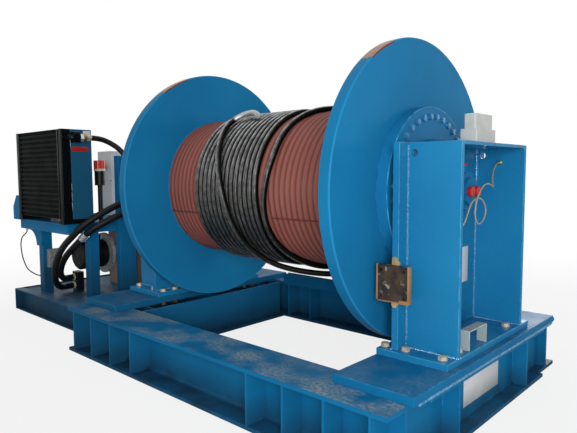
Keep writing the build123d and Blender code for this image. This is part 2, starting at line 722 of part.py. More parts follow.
drive_girder = cross_girder(1)
idle_girder = cross_girder(-1)
deck_y = (-DECK_HALF_L, DECK_HALF_L)
base_x = (PLATE_X - BASE_IN, PEDESTAL_END)
deck_plates = [block(sided(side, DECK_IN, deck_end), deck_y, deck_z) for side in (1, -1)]
base_plates = [block(sided(side, *base_x), (-base_half, base_half), base_z) for side in (1, -1)]
base_bolts = [piece for spot in all_bolts for piece in base_bolt(*spot)]


def bearing_plate(side, bore):
    """Upright plate that carries one end of the drum."""
    span = sided(side, PLATE_X, plate_out)
    plate = block(span, (-PLATE_HALF_W, PLATE_HALF_W), (base_z[1], PEDESTAL_TOP))
    return plate - rod("X", bore, span, (0, AXIS_Z))


def side_plate(side, face):
    """Wide plate of a pedestal's box, front or rear, with its lifting hole."""
    y = tuple(sorted((face * side_in, face * side_y)))
    plate = block(sided(side, plate_out, PEDESTAL_END), y, (base_z[1], PEDESTAL_TOP))
    hole = (side * (PLATE_X + PLATE_T / 2 + LIFT_HOLE_IN), PEDESTAL_TOP - LIFT_HOLE_IN)
    return plate - rod("Y", LIFT_HOLE_R, y, hole)


drive_bearing_plate = bearing_plate(1, SUN_SHAFT_R + SIDE_GAP)
idle_bearing_plate = bearing_plate(-1, HOUSING_R + SEAT)
side_plates = [side_plate(side, face) for side in (1, -1) for face in (1, -1)]
top_y = (-side_in, side_in)
top_z = (PEDESTAL_TOP - TOP_T, PEDESTAL_TOP)
top_plates = [block(sided(side, plate_out, PEDESTAL_END), top_y, top_z) for side in (1, -1)]

# Parking brake and hydraulic motor on the drive bearing plate
motor_x = (brake_x[1], brake_x[1] + MOTOR_L)
cover_x = (motor_x[1], motor_x[1] + MOTOR_COVER_L)
brake_bore = SUN_SHAFT_R + RUN_FIT
parking_brake = turned([
    (brake_x[0], brake_bore), (brake_x[0], BRAKE_R), (brake_x[1], BRAKE_R), (brake_x[1], brake_bore),
])
hydraulic_motor = turned([
    (motor_x[0], 0), (motor_x[0], MOTOR_R), (motor_x[1], MOTOR_R), (motor_x[1], MOTOR_COVER_R),
    (cover_x[1], MOTOR_COVER_R), (cover_x[1], 0),
])
port_x = (motor_x[0] + motor_x[1]) / 2
port_z = (AXIS_Z + MOTOR_R - PORT_SINK, AXIS_Z + MOTOR_R + PORT_L)
hydraulic_motor += hexagon("Z", 2 * PORT_R, port_z, (port_x, 0))
port_spots = [(y, AXIS_Z) for y in (-MOTOR_COVER_R / 2, MOTOR_COVER_R / 2)]
cap_span = (cover_x[1], cover_x[1] + PORT_CAP_L)
port_caps = [prism("X", PORT_CAP_R, 16, cap_span, spot) for spot in port_spots]
port_caps.append(prism("Z", PORT_CAP_R, 16, (port_z[1], port_z[1] + PORT_CAP_L / 2), (port_x, 0)))

# Fittings on the drive pedestal: caliper pad, junction box, hose guard
pad_x = PLATE_X + PLATE_T / 2
pad_y = (-PLATE_HALF_W - PAD_T, -PLATE_HALF_W)
caliper_pad = block((pad_x - PAD_W / 2, pad_x + PAD_W / 2), pad_y, (PAD_Z - PAD_W / 2, PAD_Z + PAD_W / 2))
for dx in (-PAD_HOLES / 2, PAD_HOLES / 2):
    for dz in (-PAD_HOLES / 2, PAD_HOLES / 2):
        caliper_pad -= rod("Y", PAD_HOLE_R, pad_y, (pad_x + dx, PAD_Z + dz))
box_x = (BOX_X, BOX_X + BOX_L)
box_y = (BOX_Y - BOX_W / 2, BOX_Y + BOX_W / 2)
box_z = (PEDESTAL_TOP, PEDESTAL_TOP + BOX_H)
lid_z = (box_z[1], box_z[1] + BOX_LID_H)
box_base = fillet(block(box_x, box_y, box_z).edges().filter_by(Axis.Z), 8)
lid_x = (box_x[0] + BOX_STEP, box_x[1] - BOX_STEP)
lid_y = (box_y[0] + BOX_STEP, box_y[1] - BOX_STEP)
box_lid = fillet(block(lid_x, lid_y, lid_z).edges().filter_by(Axis.Z), 12)
guard_x = (PEDESTAL_END - GUARD_W - 14, PEDESTAL_END - 14)
guard_mid = GUARD_IN - side_y
guard_y = (guard_mid - GUARD_L / 2, guard_mid + GUARD_L / 2)
hose_guard = block(guard_x, guard_y, (base_z[1], base_z[1] + GUARD_H))
guard_inner = (guard_y[0] + GUARD_T, guard_y[1] - GUARD_T)
hose_guard -= block(guard_x, guard_inner, (base_z[1], base_z[1] + GUARD_H - GUARD_T))

# Pipe duct on the rear beam: an open channel
duct_y = (girder_y[1], girder_y[1] + DUCT_W)
duct_z = (BEAM_H, BEAM_H + DUCT_H)
pipe_duct = block(DUCT_X, duct_y, duct_z)
pipe_duct -= block(DUCT_X, (duct_y[0] + DUCT_T, duct_y[1] - DUCT_T), (BEAM_H + DUCT_T, duct_z[1]))


# Power unit floor frame: channels with their flanges outwards, and a floor plate between them
def channel_along_x(y, side):
    """Channel along X; its back is at y and its flanges point to the side given."""
    w, h, t = CHANNEL_W, CHANNEL_H, CHANNEL_T
    outline = Polyline((0, 0), (w, 0), (w, t), (t, t), (t, h - t), (w, h - t), (w, h), (0, h), close=True)
    start = Plane(origin=(POWER_END + CHANNEL_T, y, 0), x_dir=(0, side, 0), z_dir=(side, 0, 0))
    return extrude(start * make_face(outline), side * (-deck_end - POWER_END - CHANNEL_T))


web_y = (POWER_FRONT + CHANNEL_W, POWER_REAR - CHANNEL_W)
power_front = channel_along_x(web_y[0], -1)
power_rear = channel_along_x(web_y[1], 1)
power_end = block((POWER_END, POWER_END + CHANNEL_T), (POWER_FRONT, POWER_REAR), (0, CHANNEL_H))
floor_x = (POWER_END + CHANNEL_T, -deck_end - CHANNEL_W)
floor_top = CHANNEL_H - CHANNEL_T
power_floor = block(floor_x, web_y, (floor_top - FLOOR_T, floor_top))

# Stand: square legs, shelf rails, shelf plate with an upright bracket at its left end, and a gusset at the left leg
rail_z = (SHELF_TOP - RAIL_H, SHELF_TOP)
leg_spots = FRONT_LEGS + REAR_LEGS


def leg(x, y):
    """Square tube from the floor plate to the rails."""
    span_x = (x - LEG_W / 2, x + LEG_W / 2)
    span_y = (y - LEG_W / 2, y + LEG_W / 2)
    return block(span_x, span_y, (floor_top, rail_z[0]))


stand_legs = [leg(*spot) for spot in leg_spots]
front_rail = block(SHELF_X, (SHELF_Y[0], SHELF_Y[0] + RAIL_W), rail_z)
rear_rail = block(SHELF_X, (SHELF_Y[1] - RAIL_W, SHELF_Y[1]), rail_z)
rail_gap_y = (SHELF_Y[0] + RAIL_W, SHELF_Y[1] - RAIL_W)
cross_rails = []
for spot in FRONT_LEGS:
    cross_rails.append(block((spot[0] - LEG_W / 2, spot[0] + LEG_W / 2), rail_gap_y, rail_z))
left_rail = block((SHELF_X[0], SHELF_X[0] + RAIL_W), rail_gap_y, rail_z)
shelf_top = SHELF_TOP + SHELF_T
plate_end = SHELF_X[0] - SHELF_OVER
plate_front = SHELF_Y[0] - SHELF_LIP
shelf_plate = block((plate_end, SHELF_X[1]), (plate_front, SHELF_Y[1]), (SHELF_TOP, shelf_top))
upright = Plane(origin=(plate_end, plate_front, shelf_top), x_dir=(1, 0, 0), z_dir=(0, -1, 0))
bracket_l = COOLER_X[0] - plate_end
bracket = make_face(Polyline(
    (0, 0), (bracket_l, 0), (bracket_l, BRACKET_H), (bracket_l - BRACKET_TOP_W, BRACKET_H), (0, BRACKET_LOW), close=True,
))
shelf_plate += extrude(upright * bracket, -BRACKET_T)
gusset_x = (FRONT_LEGS[0][0] - LEG_W / 2 - GUSSET, FRONT_LEGS[0][0] + LEG_W / 2)
leg_front = FRONT_LEGS[0][1] - LEG_W / 2
gusset_y = (leg_front - STIFFENER_T, leg_front)
gusset_z = (rail_z[0] - GUSSET, rail_z[0])
gusset = block(gusset_x, gusset_y, gusset_z)
gusset -= rod("Y", GUSSET - GUSSET_EDGE, gusset_y, (gusset_x[0], gusset_z[0]))

# Oil cooler: finned core between two end tanks, shroud with the fan behind
cooler_z = (shelf_top + COOLER_FOOT, shelf_top + COOLER_FOOT + COOLER_H)
tank_y = (COOLER_FRONT, COOLER_FRONT + TANK_D)
core_x = (COOLER_X[0] + TANK_W, COOLER_X[1] - TANK_W)
core_y = (tank_y[0] + (TANK_D - CORE_D) / 2, tank_y[1] - (TANK_D - CORE_D) / 2)
cooler_core = block(core_x, core_y, cooler_z)
bar_pitch = COOLER_H / CORE_BAR_COUNT
for k in range(CORE_BAR_COUNT):
    z = cooler_z[0] + (k + 0.5) * bar_pitch
    slot_z = (z - bar_pitch / 4, z + bar_pitch / 4)
    for y in (core_y[0], core_y[1] - CORE_SLOT):
        cooler_core -= block(core_x, (y, y + CORE_SLOT), slot_z)
tank_spans = ((COOLER_X[0], core_x[0]), (core_x[1], COOLER_X[1]))
end_tanks = [fillet(block(x, tank_y, cooler_z).edges().filter_by(Axis.Z), 8) for x in tank_spans]
foot_spans = ((COOLER_X[0], COOLER_X[0] + RAIL_W), (COOLER_X[1] - RAIL_W, COOLER_X[1]))
cooler_feet = [block(x, (COOLER_FRONT, tank_y[1] + SHROUD_D), (shelf_top, cooler_z[0])) for x in foot_spans]
shroud_y = (tank_y[1], tank_y[1] + SHROUD_D)
fan_x = (COOLER_X[0] + COOLER_X[1]) / 2
fan_z = (cooler_z[0] + cooler_z[1]) / 2
shroud_open = FAN_R + FAN_TIP_GAP
cooler_shroud = block(COOLER_X, shroud_y, cooler_z)
inner_x = (COOLER_X[0] + SHROUD_T, COOLER_X[1] - SHROUD_T)
inner_z = (cooler_z[0] + SHROUD_T, cooler_z[1] - SHROUD_T)
cooler_shroud -= block(inner_x, (shroud_y[0], shroud_y[1] - SHROUD_T), inner_z)
cooler_shroud -= rod("Y", shroud_open, (shroud_y[1] - SHROUD_T, shroud_y[1]), (fan_x, fan_z))

# Fan on its motor's shaft; the motor hangs on the guard's arms behind the shroud
guard_span = (shroud_y[1], shroud_y[1] + GUARD_BAR)
motor_face = guard_span[1]
fan_back = shroud_y[1] - 20
fan_y = (fan_back - FAN_W, fan_back)
fan_bore = FAN_SHAFT_R + RUN_FIT
cooler_fan = rod("Y", FAN_HUB_R, fan_y, (fan_x, fan_z))
cooler_fan += rod("Y", FAN_SHAFT_R, (fan_back, motor_face + 60), (fan_x, fan_z))
blade_y = (fan_y[0] + fan_y[1]) / 2
for k in range(FAN_BLADE_COUNT):
    blade = Pos(0, 0, (FAN_HUB_R + FAN_R) / 2) * Rot(0, 0, BLADE_PITCH) * Box(BLADE_W, BLADE_T, FAN_R - FAN_HUB_R + 12)
    cooler_fan += Pos(fan_x, blade_y, fan_z) * Rot(0, 360 * k / FAN_BLADE_COUNT, 0) * blade
motor_end = motor_face + FAN_MOTOR_L
fan_motor = rod("Y", FAN_MOTOR_R, (motor_face, motor_end), (fan_x, fan_z))
fan_motor -= rod("Y", fan_bore, (motor_face, motor_face + 60), (fan_x, fan_z))


def guard_ring(radius):
    """Ring of flat bar in the guard."""
    spot = (fan_x, fan_z)
    return prism("Y", radius, 32, guard_span, spot) - prism("Y", radius - GUARD_BAR, 32, guard_span, spot)


guard_r = shroud_open + GUARD_BAR
fan_guard = prism("Y", FAN_MOTOR_R, 32, guard_span, (fan_x, fan_z))
fan_guard -= rod("Y", FAN_HUB_R, guard_span, (fan_x, fan_z))
for k in range(1, GUARD_RING_COUNT + 1):
    fan_guard += guard_ring(FAN_MOTOR_R + k * (guard_r - FAN_MOTOR_R) / GUARD_RING_COUNT)
arm_l = guard_r - FAN_MOTOR_R
for k in range(4):
    arm = Pos(0, 0, FAN_MOTOR_R + arm_l / 2 - GUARD_BAR / 2) * Box(2 * GUARD_BAR, GUARD_BAR, arm_l)
    fan_guard += Pos(fan_x, sum(guard_span) / 2, fan_z) * Rot(0, 45 + 90 * k, 0) * arm


# Electric motor, bell housing and pump in one line along Y under the shelf
def on_set(piece):
    """Put a piece that is drawn along the X axis on the motor set's line."""
    return Pos(SET_X, 0, SET_Z) * Rot(0, 0, 90) * piece


middle = (0, 0)
motor_barrel = rod("X", EMOTOR_R, EMOTOR_Y, middle)
fin_span = (EMOTOR_Y[0] + EMOTOR_FIN_H, EMOTOR_Y[1] - EMOTOR_FIN_H)
for k in range(EMOTOR_FIN_COUNT):
    fin = block(fin_span, (-3, 3), (EMOTOR_R - 4, EMOTOR_R + EMOTOR_FIN_H))
    motor_barrel += Rot(360 * (k + 0.5) / EMOTOR_FIN_COUNT, 0, 0) * fin
motor_mid = (EMOTOR_Y[0] + EMOTOR_Y[1]) / 2
foot_span = (motor_mid - EMOTOR_FOOT_L / 2, motor_mid + EMOTOR_FOOT_L / 2)
foot_w = (-EMOTOR_FOOT_W / 2, EMOTOR_FOOT_W / 2)
motor_barrel += block(foot_span, foot_w, (floor_top - SET_Z, 0)) - rod("X", EMOTOR_R - 1, EMOTOR_Y, middle)
terminal_span = (motor_mid - TERMINAL_L / 2, motor_mid + TERMINAL_L / 2)
terminal_z = (0, EMOTOR_R + TERMINAL_H)
terminal_box = block(terminal_span, (-TERMINAL_W / 2, TERMINAL_W / 2), terminal_z)
motor_barrel += terminal_box - rod("X", EMOTOR_R - 1, EMOTOR_Y, middle)
electric_motor = on_set(motor_barrel)
cowl_end = EMOTOR_Y[0] - COWL_L
motor_cowl = on_set(turned([
    (EMOTOR_Y[0], 0), (EMOTOR_Y[0], COWL_R), (cowl_end + COWL_EDGE, COWL_R), (cowl_end, COWL_R - COWL_EDGE), (cowl_end, 0),
], 0, 0))
bell_span = (EMOTOR_Y[1], EMOTOR_Y[1] + BELL_L)
bell_flange = rod("X", BELL_FLANGE_R, (bell_span[0], bell_span[0] + BELL_FLANGE_T), middle)
bell_housing = on_set(rod("X", BELL_R, bell_span, middle) + bell_flange)
pump_span = (bell_span[1], bell_span[1] + PUMP_L)
pump_step = pump_span[0] + PUMP_FLANGE_T
pump_body_r = PUMP_R - 14
pump_body = turned([
    (pump_span[0], 0), (pump_span[0], PUMP_R), (pump_step, PUMP_R), (pump_step, pump_body_r),
    (pump_span[1], pump_body_r), (pump_span[1], 0),
], 0, 0)
pump_port = (pump_body_r - PORT_SINK, pump_body_r + PORT_L)
pump = on_set(pump_body + hexagon("Z", 2 * PORT_R, pump_port, ((pump_step + pump_span[1]) / 2, 0)))
tank_z = (floor_top, floor_top + TANK_H)
oil_reservoir = fillet(block(TANK_X, TANK_Y, tank_z).edges().filter_by(Axis.Z), 30)

# Return filter on a stand pipe: body with a pale ring, and a ribbed cap
filter_body = rod("Z", FILTER_R, FILTER_Z, FILTER_AT)
filter_body += rod("Z", FILTER_PIPE_R, (shelf_top, FILTER_Z[0]), FILTER_AT)
ring_z = (FILTER_Z[1], FILTER_Z[1] + FILTER_RING_H)
filter_body += rod("Z", FILTER_R + 6, ring_z, FILTER_AT)
cap_z = (ring_z[1], ring_z[1] + FILTER_CAP_H)
ribbed = []
for k in range(2 * FILTER_RIB_COUNT):
    ribbed.append(polar(FILTER_CAP_R - RIB_DEPTH * (k % 2), math.pi * k / FILTER_RIB_COUNT))
filter_cap = Pos(*FILTER_AT, cap_z[0]) * extrude(make_face(Polyline(*ribbed, close=True)), FILTER_CAP_H)

# Control panel on two feet, with a hinged door and an isolator knob
control_panel = block(PANEL_X, PANEL_Y, PANEL_Z)
inside_x = (PANEL_X[0] + PANEL_WALL, PANEL_X[1] - PANEL_WALL)
inside_z = (PANEL_Z[0] + PANEL_WALL, PANEL_Z[1] - PANEL_WALL)
control_panel -= block(inside_x, (PANEL_Y[0], PANEL_Y[1] - PANEL_WALL), inside_z)
for panel_foot_x in ((PANEL_X[0], PANEL_X[0] + PANEL_FOOT), (PANEL_X[1] - PANEL_FOOT, PANEL_X[1])):
    control_panel += block(panel_foot_x, PANEL_Y, (shelf_top, PANEL_Z[0]))
post = block(POST_X, POST_Y, (floor_top, POST_TOP))
door_y = (PANEL_Y[0] - SIDE_GAP - DOOR_T, PANEL_Y[0] - SIDE_GAP)
hinge_at = (PANEL_X[0] - KNUCKLE_R - SIDE_GAP, (door_y[0] + door_y[1]) / 2)
hinge_z = (PANEL_Z[0] + PANEL_Z[1] - KNUCKLE_L) / 2
knuckle_z = (hinge_z, hinge_z + KNUCKLE_L)
lug_spans = (
    (knuckle_z[0] - SIDE_GAP - LUG_L, knuckle_z[0] - SIDE_GAP),
    (knuckle_z[1] + SIDE_GAP, knuckle_z[1] + SIDE_GAP + LUG_L),
)
for lug_z in lug_spans:
    lug_y = (hinge_at[1] - HINGE_PIN_R, PANEL_Y[0] + LUG_L)
    control_panel += block((hinge_at[0] - HINGE_PIN_R, PANEL_X[0]), lug_y, lug_z)
control_panel += rod("Z", HINGE_PIN_R, (lug_spans[0][0], lug_spans[1][1]), hinge_at)
door_x = (PANEL_X[0] + 2 * SIDE_GAP, PANEL_X[1])
leaf_y = (hinge_at[1] - LEAF_T / 2, hinge_at[1] + LEAF_T / 2)
panel_door = block(door_x, door_y, PANEL_Z)
panel_door += block((hinge_at[0], door_x[0]), leaf_y, knuckle_z)
panel_door += rod("Z", KNUCKLE_R, knuckle_z, hinge_at)
panel_door -= rod("Z", HINGE_PIN_R + RUN_FIT, knuckle_z, hinge_at)
knob_at = ((PANEL_X[0] + PANEL_X[1]) / 2, PANEL_Z[1] - KNOB_DROP)
panel_door -= rod("Y", KNOB_PIN_R + RUN_FIT, door_y, knob_at)
knob_y = door_y[0] - SIDE_GAP
isolator_knob = prism("Y", KNOB_R, 24, (knob_y - KNOB_BASE, knob_y), knob_at)
isolator_knob += rod("Y", KNOB_PIN_R, (knob_y, door_y[1]), knob_at)
grip_x = (knob_at[0] - GRIP_W / 2, knob_at[0] + GRIP_W / 2)
grip_z = (knob_at[1] - 0.9 * KNOB_R, knob_at[1] + 0.9 * KNOB_R)
isolator_knob += block(grip_x, (knob_y - KNOB_H, knob_y - KNOB_BASE), grip_z)

# Hose bulkhead on the post, floor manifold, valve on the left leg, and the fittings at the hose ends
bulkhead_x = (POST_X[1], POST_X[1] + BULKHEAD_L)
bulkhead_y = (POST_Y[1] - BULKHEAD_IN, POST_Y[1] - BULKHEAD_IN + BULKHEAD_T)
bulkhead = block(bulkhead_x, bulkhead_y, BULKHEAD_Z)
ledge_z = (BULKHEAD_Z[1], BULKHEAD_Z[1] + BULKHEAD_T)
bulkhead += block(bulkhead_x, (bulkhead_y[0] - 60, bulkhead_y[1]), ledge_z)
manifold = block(MANIFOLD_X, MANIFOLD_Y, (floor_top, MANIFOLD_TOP))
valve_x = (FRONT_LEGS[0][0] + LEG_W / 2, FRONT_LEGS[0][0] + LEG_W / 2 + VALVE_L)
leg_valve = block(valve_x, VALVE_Y, VALVE_Z)
for part in (0.3, 0.7):
    port_spot = (VALVE_Y[1] - VALVE_PORT_AF, VALVE_Z[0] + part * (VALVE_Z[1] - VALVE_Z[0]))
    leg_valve += hexagon("X", VALVE_PORT_AF, (valve_x[1], valve_x[1] + VALVE_PORT_L), port_spot)


def ferrule(axis, end, face, diameter):
    """Crimped hose end between a hose's end and the face that it screws into: a collar, then a hexagon."""
    k = "XYZ".index(axis)
    at = [value for i, value in enumerate(end) if i != k]
    joint = end[k] + 0.55 * (face - end[k])
    collar = prism(axis, diameter / 2 + 5, 12, sorted((end[k], joint)), at)
    return collar + hexagon(axis, diameter + 10, sorted((joint, face)), at)


# Elbow on the cooler's right end tank
elbow_at = COOLER_ROUTE[0]
elbow_y = tank_y[1] - TANK_D / 2
cooler_elbow = rod("X", ELBOW_R, (COOLER_X[1], elbow_at[0]), (elbow_y, elbow_at[2]))
cooler_elbow += rod("Y", ELBOW_R, (elbow_y, elbow_at[1]), (elbow_at[0], elbow_at[2]))
nut_y = (elbow_at[1] - 2 * ELBOW_R, elbow_at[1])
cooler_elbow += hexagon("Y", COOLER_HOSE_D + 10, nut_y, (elbow_at[0], elbow_at[2]))
hose_fittings = [
    ferrule("Y", PRESSURE_ROUTE[0], bulkhead_y[0], HOSE_D),
    ferrule("Y", RETURN_ROUTE[0], bulkhead_y[0], HOSE_D),
    ferrule("Y", PRESSURE_ROUTE[-1], MANIFOLD_Y[0], HOSE_D),
    ferrule("Y", RETURN_ROUTE[-1], MANIFOLD_Y[0], HOSE_D),
    ferrule("Z", COOLER_ROUTE[-1], ledge_z[1], COOLER_HOSE_D),
]
pressure_hose = tube("pressure hose", PRESSURE_ROUTE, HOSE_D, HOSE_SIDES)
return_hose = tube("return hose", RETURN_ROUTE, HOSE_D, HOSE_SIDES)
cooler_hose = tube("cooler hose", COOLER_ROUTE, COOLER_HOSE_D, HOSE_SIDES)
motor_cable = tube("motor cable", CABLE_ROUTE, CABLE_D, CABLE_SIDES)
(top_x, top_end_z), (low_x, low_end_z) = SENSOR_ENDS
sensor_route = [
    (top_x, side_in, top_end_z), (top_x, side_in - SENSOR_OUT[0], top_end_z), *SENSOR_ROUTE,
    (low_x, SENSOR_OUT[1] - side_in, low_end_z), (low_x, -side_in, low_end_z),
]
sensor_cable = tube("sensor cable", sensor_route, SENSOR_D, CABLE_SIDES)

# One file for each node
os.makedirs("parts", exist_ok=True)
save("front_beam", front_beam)
save("rear_beam", rear_beam)
save("drive_cross_girder", drive_girder)
save("idle_cross_girder", idle_girder)
save("deck_plates", *deck_plates)
save("pedestal_base_plates", *base_plates)
save("drive_bearing_plate", drive_bearing_plate)
save("idle_bearing_plate", idle_bearing_plate)
save("pedestal_side_plates", *side_plates)
save("pedestal_top_plates", *top_plates)
save("base_bolts", *base_bolts)
save("drum_barrel", barrel)
save("drive_flange", drive_flange)
save("idle_flange", idle_flange)
save("gearbox_hub", gearbox_hub)
save("hub_bolts", *hub_bolts)
save("ring_gear", ring_gear)
save("sun_gear", sun_gear)
for number, gear in enumerate(planet_gears, 1):
    save(f"planet_gear_{number}", gear)
save("gearbox_spindle", spindle)
save("stub_shaft", stub_shaft)
save("drum_bearings", hub_bearing, roller_bearing)
save("bearing_housing", bearing_housing)
save("bearing_cap", bearing_cap)
save("wire_rope", wire_rope)
save("rope_clamp", rope_clamp)
save("parking_brake", parking_brake)
save("hydraulic_motor", hydraulic_motor)
save("motor_port_caps", *port_caps)
save("caliper_pad", caliper_pad)
save("junction_box", box_base, box_lid)
save("hose_guard", hose_guard)
save("pipe_duct", pipe_duct)
save("power_frame", power_front, power_rear, power_end, power_floor)
save("stand_frame", *stand_legs, front_rail, rear_rail, left_rail, *cross_rails, gusset, post)
save("shelf_plate", shelf_plate)
save("cooler_core", cooler_core)
save("cooler_end_tanks", *end_tanks, *cooler_feet)
save("cooler_shroud", cooler_shroud)
save("cooler_fan", cooler_fan)
save("fan_motor", fan_motor)
save("fan_guard", fan_guard)
save("electric_motor", electric_motor)
save("motor_cowl", motor_cowl)
save("bell_housing", bell_housing)
save("pump", pump)
save("oil_reservoir", oil_reservoir)
save("return_filter", filter_body)
save("filter_cap", filter_cap)
save("control_panel", control_panel)
save("panel_door", panel_door)
save("isolator_knob", isolator_knob)
save("hose_fittings", *hose_fittings, manifold, leg_valve, bulkhead, cooler_elbow)
save("pressure_hose", pressure_hose)
save("return_hose", return_hose)
save("cooler_hose", cooler_hose)
save("motor_cable", motor_cable)
save("sensor_cable", sensor_cable)
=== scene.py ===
"""Drum winch on a welded skid with its hydraulic power unit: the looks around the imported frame, in metres."""

import json
import math

import bmesh
import bpy
from mathutils import Matrix, Vector


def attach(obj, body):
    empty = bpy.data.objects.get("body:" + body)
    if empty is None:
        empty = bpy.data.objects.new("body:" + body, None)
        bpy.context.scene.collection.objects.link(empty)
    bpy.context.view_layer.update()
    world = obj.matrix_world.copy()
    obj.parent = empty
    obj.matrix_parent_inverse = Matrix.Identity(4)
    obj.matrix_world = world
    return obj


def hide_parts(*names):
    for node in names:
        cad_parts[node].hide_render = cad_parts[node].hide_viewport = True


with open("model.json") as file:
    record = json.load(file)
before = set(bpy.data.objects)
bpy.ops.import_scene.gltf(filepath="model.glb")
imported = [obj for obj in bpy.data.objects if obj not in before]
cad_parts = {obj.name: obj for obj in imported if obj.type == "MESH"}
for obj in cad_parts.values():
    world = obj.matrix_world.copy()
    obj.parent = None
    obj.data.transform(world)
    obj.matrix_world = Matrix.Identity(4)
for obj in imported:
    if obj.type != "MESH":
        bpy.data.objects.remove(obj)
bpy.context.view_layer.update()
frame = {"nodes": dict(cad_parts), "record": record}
nodes = frame["nodes"]
scene = bpy.context.scene

record = frame["record"]
BODY_OF = {node: body for body, members in record["behaviour"]["bodies"].items() for node in members}
SLOT_OF = {row["node"]: row["material_slot"] for row in record["subparts"]}

# Sizes shared by several pieces
AXIS_Z = 1.350           # height of the drum's axis
BARREL_R = 0.556         # at the bottom of its grooves
BARREL_END = 0.967       # from the middle of the drum
ROPE_R = 0.022
ROPE_PITCH = 0.049
ROPE_START = -0.570      # place of the first turn along the drum
BASE_TOP = 0.450         # top of the pedestals' base plates
DECK_UNDER = 0.360       # underside of the deck, and trodden tops of the beams


def linear(colour):
    """sRGB hex colour as linear RGBA."""
    parts = [int(colour[k:k + 2], 16) / 255 for k in (1, 3, 5)]
    return tuple(c / 12.92 if c <= 0.04045 else ((c + 0.055) / 1.055) ** 2.4 for c in parts) + (1.0,)


def add(tree, kind, sockets=None, out=0, **settings):
    """Adds a node with its settings, and values or linked outputs on its sockets. Gives its output."""
    node = tree.nodes.new(kind)
    for name, value in settings.items():
        setattr(node, name, value)
    for key, value in (sockets or {}).items():
        if isinstance(value, bpy.types.NodeSocket):
            tree.links.new(value, node.inputs[key])
        else:
            node.inputs[key].default_value = value
    return node.outputs[out] if node.outputs else node


# Camera: place, aim and lens of the photograph
EYE = Vector((2.868, -3.267, 1.478))
YAW = math.radians(47.40)    # from -X towards +Y
PITCH = math.radians(4.66)   # downwards
ROLL = math.radians(-0.26)
LENS = 34.56                 # millimetres, on a sensor of the next width
SENSOR = 36
SIGHT = 200                  # how far the camera sees
ahead = Vector((-math.cos(YAW) * math.cos(PITCH), math.sin(YAW) * math.cos(PITCH), -math.sin(PITCH)))
level_right = ahead.cross(Vector((0, 0, 1))).normalized()
level_up = level_right.cross(ahead)
right = math.cos(ROLL) * level_right + math.sin(ROLL) * level_up
up = math.cos(ROLL) * level_up - math.sin(ROLL) * level_right
lens = bpy.data.cameras.new("camera")
lens.lens = LENS
lens.sensor_width = SENSOR
lens.sensor_fit = "HORIZONTAL"
lens.clip_end = SIGHT
camera = bpy.data.objects.new("camera", lens)
camera.matrix_world = Matrix((right, up, -ahead)).transposed().to_4x4()
camera.location = EYE
scene.collection.objects.link(camera)
scene.camera = camera
scene.view_settings.view_transform = "Standard"

# Pale floor, white surroundings and soft light
FLOOR_HALF = 60.0
FLOOR_Z = -0.001         # just below what stands on it
FLOOR_FADE = (4.0, 8.0)  # from the middle: where the floor starts to turn white, and where it is
FLOOR_WHITE = 0.82       # how white it shows near the object, where the rest is its shaded colour
AMBIENT = 0.37
LAMPS = (                # place, aim, width and height, power, whether paint mirrors it
    ("key", (4.6, -5.0, 1.9), (0.5, 0.0, 1.0), 2.4, 2.4, 270, True),
    ("window", (5.6, 4.8, 1.8), (0.9, 0.0, 1.2), 1.6, 2.6, 75, False),
    ("top", (-1.0, -2.0, 9.0), (0.0, 0.0, 1.0), 7.0, 7.0, 50, True),
    ("left", (-8.6, -1.8, 3.0), (-1.5, 0.0, 1.0), 4.0, 4.0, 190, False),
    ("rear", (-1.5, 8.5, 3.2), (-0.5, 0.0, 1.0), 5.0, 5.0, 330, True),
)
corners = [(FLOOR_HALF * x, FLOOR_HALF * y, FLOOR_Z) for x, y in ((-1, -1), (1, -1), (1, 1), (-1, 1))]
sheet = bpy.data.meshes.new("floor")
sheet.from_pydata(corners, [], [(0, 1, 2, 3)])
floor = bpy.data.objects.new("floor", sheet)
scene.collection.objects.link(floor)
pale = bpy.data.materials.new("painted_floor")
pale.use_nodes = True
ground = pale.node_tree
ground.nodes.clear()
spot = add(ground, "ShaderNodeTexCoord", out="Object")
spread = add(ground, "ShaderNodeVectorMath", {0: spot}, "Value", operation="LENGTH")
far = add(ground, "ShaderNodeMapRange", {
    "Value": spread, "From Min": FLOOR_FADE[0], "From Max": FLOOR_FADE[1], "To Min": FLOOR_WHITE,
})
seen = add(ground, "ShaderNodeLightPath", out="Is Camera Ray")
fade = add(ground, "ShaderNodeMath", {0: far, 1: seen}, operation="MULTIPLY")
matt = add(ground, "ShaderNodeBsdfDiffuse", {"Color": linear("#D2D2CE")})
white = add(ground, "ShaderNodeEmission", {"Color": (1, 1, 1, 1), "Strength": 1.0})
mixed = add(ground, "ShaderNodeMixShader", {0: fade, 1: matt, 2: white})
add(ground, "ShaderNodeOutputMaterial", {"Surface": mixed})
sheet.materials.append(pale)
for name, place, aim, width, height, power, mirrored in LAMPS:
    lamp = bpy.data.lights.new(name, "AREA")
    lamp.shape = "RECTANGLE"
    lamp.size = width
    lamp.size_y = height
    lamp.energy = power
    lamp_object = bpy.data.objects.new(name, lamp)
    lamp_object.location = place
    lamp_object.visible_camera = False
    lamp_object.visible_glossy = mirrored
    lamp_object.rotation_euler = (Vector(aim) - Vector(place)).to_track_quat("-Z", "Y").to_euler()
    scene.collection.objects.link(lamp_object)
world = bpy.data.worlds.new("hall")
scene.world = world
world.use_nodes = True
sky = world.node_tree
sky.nodes.clear()
seen = 0.0
for ray in ("Is Camera Ray", "Is Transmission Ray", "Is Glossy Ray"):
    kind = add(sky, "ShaderNodeLightPath", out=ray)
    seen = add(sky, "ShaderNodeMath", {0: seen, 1: kind}, operation="MAXIMUM")
light = add(sky, "ShaderNodeBackground", {"Color": linear("#F2F5F8"), "Strength": AMBIENT})
white = add(sky, "ShaderNodeBackground", {"Color": (1, 1, 1, 1), "Strength": 1.0})
shown = add(sky, "ShaderNodeMixShader", {0: seen, 1: light, 2: white})
